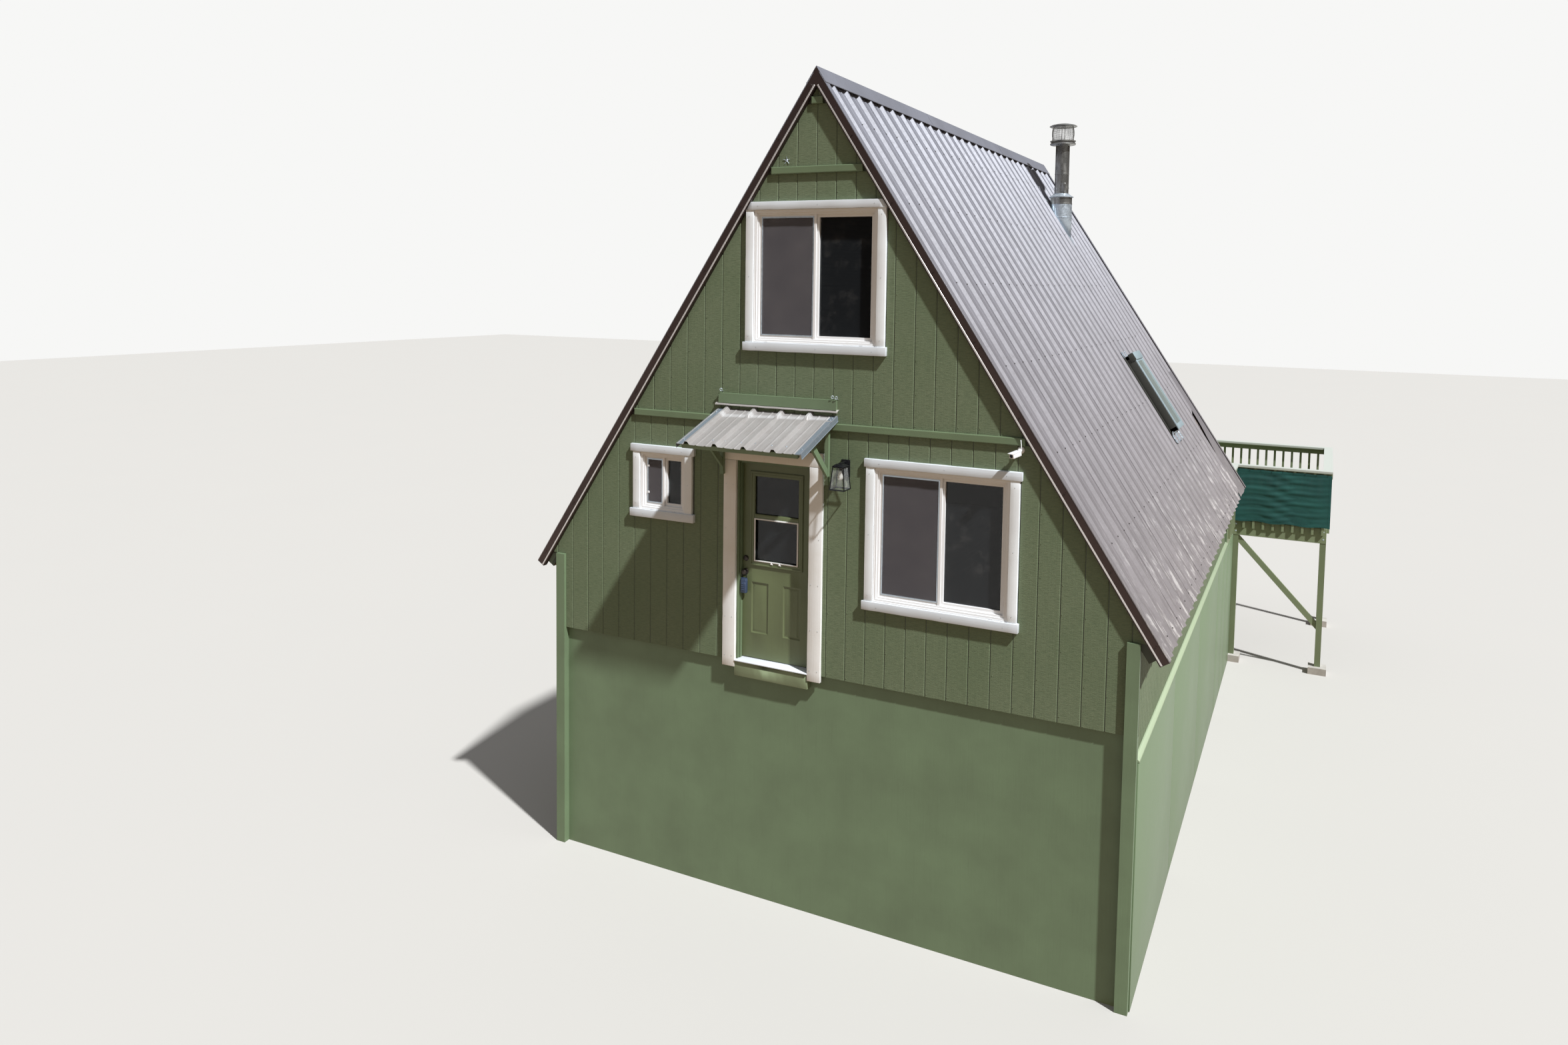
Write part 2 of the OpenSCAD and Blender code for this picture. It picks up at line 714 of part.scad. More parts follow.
// Pane of the roof window
module skylight_glass() {
  color([0.62, 0.72, 0.74, 0.5])
  translate([0, 0, zr]) rotate([0, pitch, 0]) block([3600, 5850, 80], [4660, 6280, 90]);
}

// Deck boards, joists and rim of the rear deck as one slab
module deck_floor() {
  color([0.42, 0.50, 0.36])
  translate([0, 0, deck_z - rim_h]) linear_extrude(rim_h)
  polygon([[-half_w, yr + trim_out + 4], [half_w, yr + trim_out + 4], [half_w, deck_y0],
    [deck_x1, deck_y0], [deck_x1, deck_y1], [-half_w, deck_y1]]);
}

// Posts under the deck
module deck_posts() {
  color([0.42, 0.50, 0.36])
  union() {
    for (x = [-3040, -545, 1950, deck_x1 - 90])
      block([x, deck_y1 - 90, 110], [x + 89, deck_y1 - 1, deck_z - rim_h]);
    block([deck_x1 - 90, deck_y0 + 5, 110], [deck_x1 - 1, deck_y0 + 94, deck_z - rim_h]);
    block([half_w + 5, deck_y0 + 5, 110], [half_w + 94, deck_y0 + 94, deck_z - rim_h]);
  }
}

// Long brace between the two near posts
module deck_brace() {
  color([0.42, 0.50, 0.36])
  prism([[half_w + 94, deck_z - rim_h], [half_w + 94, deck_z - rim_h - 130],
    [deck_x1 - 90, 720], [deck_x1 - 90, 850]], deck_y0 + 30, deck_y0 + 68);
}

// Concrete pads under the posts
module deck_pads() {
  color([0.62, 0.60, 0.56])
  union() {
    for (x = [-3040, -545, 1950, deck_x1 - 90])
      block([x - 90, deck_y1 - 180, 0], [x + 179, deck_y1 + 89, 110]);
    block([deck_x1 - 180, deck_y0 - 85, 0], [deck_x1 + 89, deck_y0 + 184, 110]);
    block([half_w + 5, deck_y0 - 85, 0], [half_w + 184, deck_y0 + 184, 110]);
  }
}

// A length of rail l long, along X from the origin, with balusters on its -Y face
module rail(l) {
  n = floor((l - 120) / bal_pitch);
  s = (l - n * bal_pitch) / 2;
  union() {
    translate([0, -50, deck_z + rail_h]) cube([l, 140, 38]);
    translate([0, 0, deck_z + rail_h - 89]) cube([l, 38, 89]);
    for (i = [0 : n]) translate([s + i * bal_pitch - 19, -38, deck_z - 150])
      cube([38, 38, rail_h + 150]);
  }
}

module deck_rail_near() {
  color([0.45, 0.53, 0.38])
  union() {
    translate([half_w - 89, deck_y0, 0]) rail(deck_x1 + 50 - half_w + 89);
    block([deck_x1 - 89, deck_y0 + 38, deck_z], [deck_x1, deck_y0 + 90, deck_z + rail_h]);
    translate([half_w, yr + 90, 0]) rotate([0, 0, 90]) rail(ledge_l - 142);
  }
}

module deck_rail_right() {
  color([0.45, 0.53, 0.38])
  translate([deck_x1, deck_y0 + 92, 0]) rotate([0, 0, 90]) rail(deck_l - 184);
}

module deck_rail_far() {
  color([0.45, 0.53, 0.38])
  union() {
    translate([deck_x1 + 50, deck_y1, 0]) rotate([0, 0, 180]) rail(deck_x1 + half_w + 100);
    translate([-half_w, deck_y1 - 92, 0]) rotate([0, 0, 270]) rail(deck_y1 - yr - 184);
  }
}

// Shade cloth on the near rail
module shade_cloth() {
  color([0.05, 0.25, 0.20])
  block([half_w + 4, deck_y0 - 50, deck_z - 40], [deck_x1 + 42, deck_y0 - 44, deck_z + 845]);
}

foundation_front();
foundation_rear();
skirt_right();
skirt_left();
main_floor();
loft_floor();
front_wall_left();
front_wall_right();
front_wall_upper();
rear_wall();
side_wall_right();
side_wall_left();
roof_deck_right();
roof_deck_left();
roofing_right();
roofing_left();
ridge_cap();
rake_trim_front();
rake_trim_rear();
corner_boards();
belt_boards();
door_frame();
door_casing();
door_slab();
door_glass();
door_hardware();
small_window();
small_window_glass();
large_window();
large_window_glass();
upper_window();
upper_window_glass();
awning_frame();
awning_roofing();
awning_flashing();
wall_lantern();
security_camera();
chimney_flashing();
chimney();
skylight();
skylight_glass();
deck_floor();
deck_posts();
deck_brace();
deck_pads();
deck_rail_near();
deck_rail_right();
deck_rail_far();
shade_cloth();
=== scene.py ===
# %% [markdown]
# # An A-frame cabin
#
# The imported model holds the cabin's construction: walls, floors, roof slabs, posts and the
# hinged door. This lesson dresses that frame: it cuts grooves in the siding, folds the roof
# sheets, hangs the window sashes, and gives each surface its paint, grain and wear. The frame
# comes first, because every new piece takes its place from a packed one.

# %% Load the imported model
import json
import math
import random

import bmesh
import bpy
from mathutils import Matrix, Vector


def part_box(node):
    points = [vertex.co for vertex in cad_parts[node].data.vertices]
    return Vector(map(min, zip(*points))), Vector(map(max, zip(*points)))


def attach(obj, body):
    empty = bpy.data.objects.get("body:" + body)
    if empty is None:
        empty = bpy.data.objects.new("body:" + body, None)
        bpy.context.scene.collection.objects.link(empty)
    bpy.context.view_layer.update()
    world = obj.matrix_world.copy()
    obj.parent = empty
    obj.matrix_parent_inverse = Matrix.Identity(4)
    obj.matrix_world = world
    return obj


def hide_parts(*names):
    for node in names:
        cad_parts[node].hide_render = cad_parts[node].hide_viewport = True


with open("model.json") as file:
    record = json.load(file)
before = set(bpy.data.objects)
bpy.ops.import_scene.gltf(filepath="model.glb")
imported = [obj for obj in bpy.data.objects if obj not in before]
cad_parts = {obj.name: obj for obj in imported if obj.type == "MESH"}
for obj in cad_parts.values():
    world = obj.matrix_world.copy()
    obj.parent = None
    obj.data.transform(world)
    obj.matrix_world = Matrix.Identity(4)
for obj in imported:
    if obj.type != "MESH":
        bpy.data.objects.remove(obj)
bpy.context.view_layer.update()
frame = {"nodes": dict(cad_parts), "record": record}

nodes = frame["nodes"]
HOUSE = "house"
DOOR = "front_door"
bpy.ops.object.select_all(action="DESELECT")

# %% [markdown]
# ## Main levels and lines
#
# A roof drawn at 57 degrees is awkward to place by eye. Two small functions do it instead: one
# turns a distance down the slope and a depth under the rib tops into a point of the section,
# and the other gives the height of such a plane over any place across the cabin. The levels
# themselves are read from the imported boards.

# %% Read the levels and name the roof's measures
FLOOR_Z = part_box("front_wall_left")[0].z
HALF_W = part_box("corner_boards")[1].x
FRONT_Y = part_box("door_casing")[1].y
REAR_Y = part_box("rake_trim_rear")[0].y
RIDGE_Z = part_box("rake_trim_front")[1].z
SKIRT_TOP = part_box("skirt_left")[1].z
SIDE_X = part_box("side_wall_right")[1].x
DECK_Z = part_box("deck_floor")[1].z
PITCH = math.radians(57)
SLOPE_L = 6.11
RIB_H = 0.032
PAN_DEPTH = 0.036
RAKE_DEPTH = 0.095
UNDER_DEPTH = 0.176
TAIL_S = SLOPE_L - 0.05
RIB_PITCH = 0.3048
FIRST_RIB = 0.150


def roof_point(s, depth, side=1):
    """Across and up of a point s down the slope and depth under the rib tops."""
    across = s * math.cos(PITCH) - depth * math.sin(PITCH)
    return side * across, RIDGE_Z - s * math.sin(PITCH) - depth * math.cos(PITCH)


def roof_height(x, depth):
    """Height of a plane of the roof over the place x."""
    return RIDGE_Z - depth / math.cos(PITCH) - abs(x) * math.tan(PITCH)


def slope_turn(side):
    """The turn and shift from a flat sheet (s, y, up) to its place on a slope."""
    turn = Matrix.Translation((0, 0, RIDGE_Z)) @ Matrix.Rotation(PITCH, 4, "Y")
    return turn if side > 0 else Matrix.Scale(-1, 4, (1, 0, 0)) @ turn


print("floor", round(FLOOR_Z, 3), "ridge", round(RIDGE_Z, 3), "half width", HALF_W)

# %% [markdown]
# ## Helpers for modelling
#
# Each new piece starts as a primitive at its size and place. An operator works on whatever is
# selected, so the helpers select faces or edges by a test on their place first. Placing is
# always put into the mesh, because the object itself has to sit at the origin.

# %% Start, select and finish a piece


def deselect():
    bpy.ops.object.select_all(action="DESELECT")


def settle(name):
    """Names the active object and puts its place, turn and size into its mesh."""
    bpy.ops.object.transform_apply(location=True, rotation=True, scale=True)
    piece = bpy.context.object
    piece.name = name
    piece.data.name = name
    return piece


def activate(piece):
    deselect()
    piece.select_set(True)
    bpy.context.view_layer.objects.active = piece


def add_box(name, low, high):
    """A box between two corners."""
    low, high = Vector(low), Vector(high)
    deselect()
    bpy.ops.mesh.primitive_cube_add(size=1, location=(low + high) / 2, scale=high - low)
    return settle(name)


def add_sheet(name, low, high):
    """A flat face in the plane y = low.y that looks to the front."""
    low, high = Vector(low), Vector(high)
    deselect()
    bpy.ops.mesh.primitive_plane_add(size=1, rotation=(math.pi / 2, 0, 0))
    bpy.ops.transform.resize(value=(high.x - low.x, 1, high.z - low.z))
    bpy.ops.transform.translate(value=(low + high) / 2)
    return settle(name)


def add_rod(name, start, end, radius, sides, end_radius=None):
    """A round bar or a cone between two points."""
    start, end = Vector(start), Vector(end)
    way = end - start
    deselect()
    bpy.ops.mesh.primitive_cone_add(
        vertices=sides,
        radius1=radius,
        radius2=radius if end_radius is None else end_radius,
        depth=way.length,
        location=(start + end) / 2,
        rotation=way.to_track_quat("Z", "Y").to_euler(),
    )
    return settle(name)


def join(name, parts):
    """Makes one object of several, named after the piece."""
    deselect()
    for part in parts:
        part.select_set(True)
    bpy.context.view_layer.objects.active = parts[0]
    if len(parts) > 1:
        bpy.ops.object.join()
    parts[0].name = name
    parts[0].data.name = name
    return parts[0]


def select_by(piece, test, kind="FACE"):
    """Selects the faces or edges that pass the test, and stays in edit mode."""
    activate(piece)
    bpy.ops.object.mode_set(mode="EDIT")
    bpy.ops.mesh.select_mode(type=kind)
    bpy.ops.mesh.select_all(action="DESELECT")
    shape = bmesh.from_edit_mesh(piece.data)
    elements = shape.faces if kind == "FACE" else shape.edges
    for element in elements:
        if test(element):
            element.select_set(True)
    bmesh.update_edit_mesh(piece.data)


def edit_all(piece):
    """Goes into edit mode with all of a piece selected."""
    activate(piece)
    bpy.ops.object.mode_set(mode="EDIT")
    bpy.ops.mesh.select_all(action="SELECT")


def middle(element):
    """Centre of a face or an edge."""
    corners = [v.co for v in element.verts]
    return sum(corners, Vector()) / len(corners)


def leave():
    bpy.ops.object.mode_set(mode="OBJECT")


def cut(piece, point, normal, clear_outer=False, clear_inner=False, fill=False):
    """Cuts the whole piece along a plane."""
    edit_all(piece)
    bpy.ops.mesh.bisect(
        plane_co=point,
        plane_no=normal,
        clear_outer=clear_outer,
        clear_inner=clear_inner,
        use_fill=fill,
    )
    leave()


def remove_faces(piece, test):
    select_by(piece, test)
    bpy.ops.mesh.delete(type="FACE")
    leave()


def shift_part(piece, test, step, kind="FACE"):
    """Moves the faces or edges that pass the test."""
    select_by(piece, test, kind)
    bpy.ops.transform.translate(value=step)
    leave()


def modify(piece, kind, **settings):
    """Adds a modifier, sets it and applies it."""
    activate(piece)
    modifier = piece.modifiers.new(kind.title(), kind)
    for key, value in settings.items():
        setattr(modifier, key, value)
    bpy.ops.object.modifier_apply(modifier=modifier.name)
    return piece


def repeat(piece, count, step, **settings):
    """Lines up copies of a piece along Y, as one mesh."""
    return modify(
        piece,
        "ARRAY",
        count=count,
        use_relative_offset=False,
        use_constant_offset=True,
        constant_offset_displace=(0, step, 0),
        **settings,
    )


def smooth(piece, degrees):
    """Shades a piece smooth, except at edges that turn by more than an angle."""
    activate(piece)
    bpy.ops.object.shade_smooth_by_angle(angle=math.radians(degrees))
    return piece


def soften(piece, width, segments):
    """Rounds the sharp edges and shades the piece smooth between them."""
    modify(piece, "BEVEL", width=width, segments=segments, limit_method="ANGLE")
    return smooth(piece, 40)


def eased_box(name, low, high, width, segments=1):
    """A box between two corners, with rounded edges."""
    return soften(add_box(name, low, high), width, segments)


def face_out(piece):
    """Merges doubles and turns all faces outwards."""
    edit_all(piece)
    bpy.ops.mesh.remove_doubles(threshold=0.0002)
    bpy.ops.mesh.normals_make_consistent(inside=False)
    leave()
    return piece


def place(piece, matrix):
    """Moves the mesh itself, so that the object stays at the origin."""
    piece.data.transform(matrix)
    if matrix.determinant() < 0:
        piece.data.flip_normals()
    piece.data.update()
    return piece


def copy_piece(piece, name, matrix):
    """A copy with its own mesh, moved by a matrix."""
    twin = piece.copy()
    twin.data = piece.data.copy()
    twin.name = name
    twin.data.name = name
    bpy.context.collection.objects.link(twin)
    return place(twin, matrix)

# %% [markdown]
# ## Shader maths as Python sums
#
# A node tree for weathered paint soon holds dozens of Math nodes. They could be added one by
# one, but a sum reads better. The small class below stands for the output of a node, and each
# operator on it adds the Math node that does that operation. Every other node comes from one
# method of the finish that it belongs to.

# %% The wire, the finish and their nodes


class Wire:
    """The output of a shader node, ready for a Python sum."""

    def __init__(self, finish, socket):
        self.finish = finish
        self.socket = socket

    def __add__(self, other):
        return self.finish.maths("ADD", self, other)

    def __radd__(self, other):
        return self.finish.maths("ADD", other, self)

    def __sub__(self, other):
        return self.finish.maths("SUBTRACT", self, other)

    def __rsub__(self, other):
        return self.finish.maths("SUBTRACT", other, self)

    def __mul__(self, other):
        return self.finish.maths("MULTIPLY", self, other)

    def __truediv__(self, other):
        return self.finish.maths("DIVIDE", self, other)


def set_socket(socket, value):
    """Sets the constant of a socket; a colour gets its fourth number here."""
    socket.default_value = (*value, 1.0) if socket.type == "RGBA" else value


class Finish:
    """A material with one Principled shader, and the ways to wire it."""

    def __init__(self, name, slot, **constants):
        self.slot = slot
        self.material = bpy.data.materials.new(name)
        self.material.use_nodes = True
        self.tree = self.material.node_tree
        self.shader = self.tree.nodes["Principled BSDF"]
        self.paint(**constants)

    def feed(self, socket, value):
        if isinstance(value, Wire):
            self.tree.links.new(value.socket, socket)
        else:
            set_socket(socket, value)

    def add(self, kind, inputs, output=0, **settings):
        """Adds a node: its settings first, then the values or links of its sockets."""
        node = self.tree.nodes.new(kind)
        for key, value in settings.items():
            setattr(node, key, value)
        for key, value in inputs.items():
            self.feed(node.inputs[key], value)
        return Wire(self, node.outputs[output])

    def maths(self, operation, first, second=0.0):
        return self.add("ShaderNodeMath", {0: first, 1: second}, operation=operation)

    def clamp(self, value):
        return self.add("ShaderNodeClamp", {0: value})

    def spot(self, value, low, high):
        """0 under low and 1 over high, with a straight rise between them."""
        inputs = {"Value": value, "From Min": low, "From Max": high}
        return self.add("ShaderNodeMapRange", inputs)

    def place(self):
        return self.add("ShaderNodeTexCoord", {}, "Object")

    def stretch(self, scale):
        """Object coordinates, multiplied along each axis."""
        return self.add("ShaderNodeMapping", {"Vector": self.place(), "Scale": scale})

    def axis(self, number):
        return self.add("ShaderNodeSeparateXYZ", {0: self.place()}, number)

    def noise(self, scale, stretch=(1, 1, 1), detail=5.0, rough=0.55):
        inputs = {"Vector": self.stretch(stretch), "Scale": scale, "Detail": detail, "Roughness": rough}
        return self.add("ShaderNodeTexNoise", inputs)

    def cells(self, scale, stretch=(1, 1, 1), output="Distance"):
        inputs = {"Vector": self.stretch(stretch), "Scale": scale}
        return self.add("ShaderNodeTexVoronoi", inputs, output)

    def blend(self, factor, first, second, way="MIX"):
        """Mixes two colours, second over first."""
        inputs = {0: factor, 6: first, 7: second}
        return self.add("ShaderNodeMix", inputs, 2, data_type="RGBA", blend_type=way)

    def relief(self, height, strength, depth):
        """A bump of a real depth in metres that feeds the normal."""
        inputs = {"Height": height, "Strength": strength, "Distance": depth}
        self.feed(self.shader.inputs["Normal"], self.add("ShaderNodeBump", inputs))

    def paint(self, **wires):
        """Feeds the shader's sockets, which are named with _ for a space."""
        for word, value in wires.items():
            self.feed(self.shader.inputs[word.replace("_", " ").title()], value)


def dress(piece, finish):
    """Gives a piece one finish all over."""
    piece.data.materials.clear()
    piece.data.materials.append(finish.material)
    for face in piece.data.polygons:
        face.material_index = 0


def hand_over(piece, finish, stands_for=(), body=HOUSE):
    """Dresses a piece, lets it ride on its body and hides the imported nodes it stands for."""
    dress(piece, finish)
    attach(piece, body)
    if stands_for:
        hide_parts(*stands_for)
    print(piece.name, len(piece.data.polygons), "faces")
    return piece


# %% [markdown]
# ## The paints
#
# The siding is rough-sawn plywood under green paint. Its saw marks run level, short and
# uneven, across the upright grain. A level noise, squeezed along Z, gives the marks, an
# upright one gives the grain, and a broad one fades the paint. Smooth boards share the fading
# but have only faint grain.

# %% Rough-sawn siding and painted boards
SIDING_GREEN = (0.123, 0.159, 0.086)
BOARD_GREEN = (0.145, 0.205, 0.115)
DECK_GREEN = (0.205, 0.245, 0.14)
DECK_DARK = (0.15, 0.18, 0.1)


def sawn_siding():
    finish = Finish("rough_sawn_green", "siding_green", Roughness=0.72)
    saw = finish.noise(46.0, (0.35, 0.35, 3.4), 4.0, 0.7)
    grain = finish.noise(22.0, (3.0, 3.0, 0.16), 4.0, 0.62)
    fade = finish.noise(1.1, detail=4.0)
    flecks = finish.spot(finish.noise(70.0, (0.8, 0.8, 2.2), 2.0), 0.66, 0.74)
    dark = (0.074, 0.104, 0.054)
    pale = (0.165, 0.212, 0.128)
    base = finish.blend(finish.spot(fade, 0.35, 0.68), SIDING_GREEN, (0.146, 0.178, 0.104))
    base = finish.blend(finish.spot(saw, 0.56, 0.42) * 0.55, base, dark)
    base = finish.blend(flecks * 0.4, base, pale)
    finish.paint(Base_Color=base, Roughness=0.62 + saw * 0.2)
    finish.relief(saw * 0.75 + grain * 0.35, 0.75, 0.004)
    return finish


def painted_board(name, slot, base, dirt, grain_axis=2, roughness=0.5, painted_lit_top=None):
    """Planed or plywood boards with faint grain along one axis, and a painted highlight over a height.
    """
    finish = Finish(name, slot, Roughness=roughness)
    along = [3.2, 3.2, 3.2]
    along[grain_axis] = 0.12
    grain = finish.noise(16.0, tuple(along), 5.0, 0.6)
    fade = finish.noise(1.7)
    worn = finish.spot(finish.noise(9.0, detail=6.0, rough=0.72), 0.62, 0.78)
    colours = finish.blend(finish.spot(fade, 0.32, 0.7) * 0.6, base, dirt)
    colours = finish.blend(finish.spot(grain, 0.55, 0.75) * 0.25, colours, dirt)
    colours = finish.blend(worn * 0.25, colours, dirt)
    # Painted highlight: over this height the paint is paler, where the high sun lights the top.
    if painted_lit_top:
        over, lit_tone = painted_lit_top
        top = finish.spot(finish.axis(2), over, over + 0.02)
        colours = finish.blend(top * 0.8, colours, lit_tone)
    finish.paint(Base_Color=colours, Roughness=roughness - 0.08 + fade * 0.2)
    finish.relief(grain, 0.35, 0.0025)
    return finish


siding_paint = sawn_siding()
# Painted shade: the packed walls show only as groove bottoms, so they are painted dark green.
groove_shade_paint = painted_board("green_grooves_painted_shade", "siding_green", (0.04, 0.05, 0.026), (0.05, 0.045, 0.03))
board_paint = painted_board("green_boards", "board_green", BOARD_GREEN, (0.105, 0.14, 0.08))
belt_paint = painted_board(
    "green_level_boards", "board_green", (0.135, 0.185, 0.1), (0.1, 0.135, 0.075), 0
)
# Painted highlight on the sunlit top of the skirt's strip.
skirt_painted_lit_top = (SKIRT_TOP, (0.34, 0.4, 0.27))
skirt_paint = painted_board(
    "green_skirt", "board_green", (0.132, 0.186, 0.102), (0.16, 0.22, 0.128), 2, 0.46, skirt_painted_lit_top
)
deck_paint = painted_board("green_deck", "deck_green", DECK_GREEN, DECK_DARK, 0)
# Painted highlight on the sunlit tops of the rail caps.
rail_painted_lit_top = (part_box("deck_rail_near")[1].z - 0.042, (0.54, 0.56, 0.53))
rail_paint = painted_board("green_rails", "deck_green", DECK_GREEN, DECK_DARK, 0, painted_lit_top=rail_painted_lit_top)
post_paint = painted_board("green_posts", "deck_green", (0.165, 0.2, 0.11), (0.12, 0.145, 0.075))
white_paint = painted_board(
    "white_casing", "white_paint", (0.8, 0.815, 0.82), (0.62, 0.58, 0.52), roughness=0.55
)
print("paints:", len(bpy.data.materials))

# %% [markdown]
# ## Metals, glass, timber and plastic
#
# The roof sheets are painted steel that has gone a little chalky: broad cloudy patches, fine
# streaks and small pale scuffs, with worn runs at the eave. A tint over the height, a painted
# reflection of the warm ground low down and the blue sky higher up, and a thin coat turn the
# upper half bluer. The flashings are galvanized, where Voronoi cells of slightly different grey
# make the spangle. Glass here is nearly black with a strong gloss, because the rooms behind it
# are dark by day.

# %% Make the other finishes
TIMBER_PLANK = 0.14


def chalky_steel(name, slot, tones, roughness, coat, worn):
    """Painted steel, worn in streaks at the eave, with a painted reflection: warm low, bluer up high.
    """
    base, pale, dark = tones
    finish = Finish(name, slot, Metallic=0.2, Coat_Weight=coat, Coat_Roughness=0.4)
    cloud = finish.noise(1.3)
    streak = finish.noise(9.0, (3, 3, 3), 4.0, 0.6)
    scuff = finish.spot(finish.noise(26.0, (1, 1, 0.35), 6.0, 0.7), 0.66, 0.76)
    colours = finish.blend(finish.spot(cloud, 0.35, 0.7), base, pale)
    colours = finish.blend(finish.spot(streak, 0.5, 0.72) * 0.35, colours, dark)
    colours = finish.blend(scuff * 0.3, colours, (0.4, 0.39, 0.38))
    eave = roof_point(TAIL_S, 0)[1]
    near_eave = finish.spot(finish.axis(2), eave + 1.1, eave + 0.1)
    runs = finish.spot(finish.noise(15.0, (0.3, 3.0, 0.3), 5.0, 0.7), 0.53, 0.64)
    colours = finish.blend(runs * near_eave * worn, colours, (0.6, 0.6, 0.59))
    # Painted reflection: the colour is tinted warm low down, like the ground, and blue toward the
    # ridge, like the sky.
    height = finish.spot(finish.axis(2), FLOOR_Z, RIDGE_Z)
    tint = finish.blend(height, (1.0, 0.93, 0.87), (0.87, 0.96, 1.1))
    colours = finish.blend(1.0, colours, tint, "MULTIPLY")
    finish.paint(Base_Color=colours, Roughness=roughness - 0.06 + streak * 0.16)
    finish.relief(cloud + streak * 0.1, 0.25, 0.004)
    return finish


def spangled_zinc():
    finish = Finish("spangled_zinc", "galvanized", Metallic=0.75)
    spangle = finish.cells(55.0, output="Color")
    shade = finish.add("ShaderNodeSeparateColor", {0: spangle})
    cloud = finish.noise(4.0)
    colours = finish.blend(shade, (0.47, 0.53, 0.58), (0.57, 0.63, 0.69))
    colours = finish.blend(finish.spot(cloud, 0.5, 0.8) * 0.3, colours, (0.36, 0.38, 0.4))
    finish.paint(Base_Color=colours, Roughness=0.34 + shade * 0.16)
    finish.relief(cloud, 0.2, 0.003)
    return finish


def flue_metal():
    finish = Finish("flue_metal", "flue_steel", Metallic=0.9)
    brush = finish.noise(60.0, (1, 1, 0.05), 3.0)
    soot = finish.spot(finish.noise(7.0, (1, 1, 0.6), 5.0), 0.48, 0.7)
    colours = finish.blend(brush, (0.30, 0.30, 0.29), (0.46, 0.46, 0.44))
    colours = finish.blend(soot * 0.6, colours, (0.14, 0.12, 0.10))
    finish.paint(Base_Color=colours, Roughness=0.26 + soot * 0.3)
    finish.relief(brush, 0.1, 0.001)
    return finish


def plain_metal(name, slot, base, wear, metallic, roughness):
    finish = Finish(name, slot, Metallic=metallic)
    patch = finish.spot(finish.noise(38.0, detail=6.0, rough=0.7), 0.56, 0.74)
    finish.paint(Base_Color=finish.blend(patch * 0.6, base, wear), Roughness=roughness + patch * 0.2)
    finish.relief(patch, 0.15, 0.0006)
    return finish


def window_pane():
    finish = Finish("window_pane", "pane", Roughness=0.04, Alpha=0.72)
    haze = finish.noise(3.0, detail=4.0)
    dust = finish.spot(finish.noise(5.0, detail=6.0, rough=0.75), 0.52, 0.8)
    colours = finish.blend(dust * 0.3, (0.018, 0.02, 0.022), (0.16, 0.15, 0.14))
    finish.paint(Base_Color=colours, Roughness=0.03 + haze * 0.06, Alpha=0.66 + dust * 0.14)
    return finish


def bare_timber(slot, base, dark):
    """Bare boards that run along Y, with dark joints between them."""
    finish = Finish(slot, slot)
    row = finish.maths("FRACT", finish.axis(0) / TIMBER_PLANK)
    joint = finish.spot(finish.maths("ABSOLUTE", row - 0.5), 0.488, 0.5)
    along = (4.0, 0.15, 4.0)
    rings = finish.noise(7.0, along, 6.0, 0.65)
    knots = finish.spot(finish.cells(3.0, along), 0.09, 0.04)
    colours = finish.blend(finish.spot(rings, 0.4, 0.65), base, dark)
    colours = finish.blend(knots * 0.8, colours, (0.12, 0.06, 0.03))
    colours = finish.blend(joint * 0.85, colours, (0.04, 0.025, 0.015))
    finish.paint(Base_Color=colours, Roughness=0.6 + rings * 0.2)
    finish.relief(rings - joint * 1.5, 0.4, 0.002)
    return finish


def cast_concrete():
    finish = Finish("cast_concrete", "concrete")
    sand = finish.noise(90.0, detail=5.0, rough=0.7)
    stain = finish.noise(5.0, detail=6.0)
    colours = finish.blend(finish.spot(stain, 0.35, 0.7), (0.36, 0.34, 0.31), (0.5, 0.48, 0.44))
    colours = finish.blend(finish.spot(sand, 0.6, 0.7) * 0.5, colours, (0.25, 0.23, 0.21))
    finish.paint(Base_Color=colours, Roughness=0.85 + sand * 0.1)
    finish.relief(sand + stain, 0.5, 0.003)
    return finish


def smooth_plastic(name, slot, base, roughness):
    finish = Finish(name, slot)
    cloud = finish.noise(6.0, detail=4.0)
    grime = finish.spot(finish.noise(18.0, detail=6.0, rough=0.7), 0.6, 0.8)
    pale = tuple(min(1.0, part * 1.06) for part in base)
    colours = finish.blend(cloud, base, pale)
    colours = finish.blend(grime * 0.25, colours, (0.42, 0.38, 0.33))
    finish.paint(Base_Color=colours, Roughness=roughness + cloud * 0.08)
    finish.relief(grime, 0.08, 0.0005)
    return finish


ROOF_TONES = [(0.177, 0.166, 0.172), (0.219, 0.206, 0.214), (0.136, 0.124, 0.125)]
TRIM_TONES = [(0.032, 0.015, 0.011), (0.044, 0.024, 0.019), (0.02, 0.01, 0.008)]
roof_steel = chalky_steel("roof_steel", "roof_metal", ROOF_TONES, roughness=0.52, coat=0.4, worn=0.55)
trim_steel = chalky_steel("trim_steel", "trim_brown", TRIM_TONES, roughness=0.42, coat=0.0, worn=0.0)
zinc = spangled_zinc()
flue_steel = flue_metal()
pane = window_pane()
dark_bronze = plain_metal(
    "dark_bronze", "hardware_dark", (0.05, 0.04, 0.035), (0.16, 0.12, 0.09), 0.7, 0.34
)
lantern_black = plain_metal(
    "lantern_black", "black_metal", (0.012, 0.012, 0.014), (0.05, 0.05, 0.05), 0.5, 0.38
)
skylight_grey = plain_metal(
    "skylight_grey", "skylight_frame", (0.052, 0.053, 0.045), (0.09, 0.09, 0.08), 0.3, 0.45
)
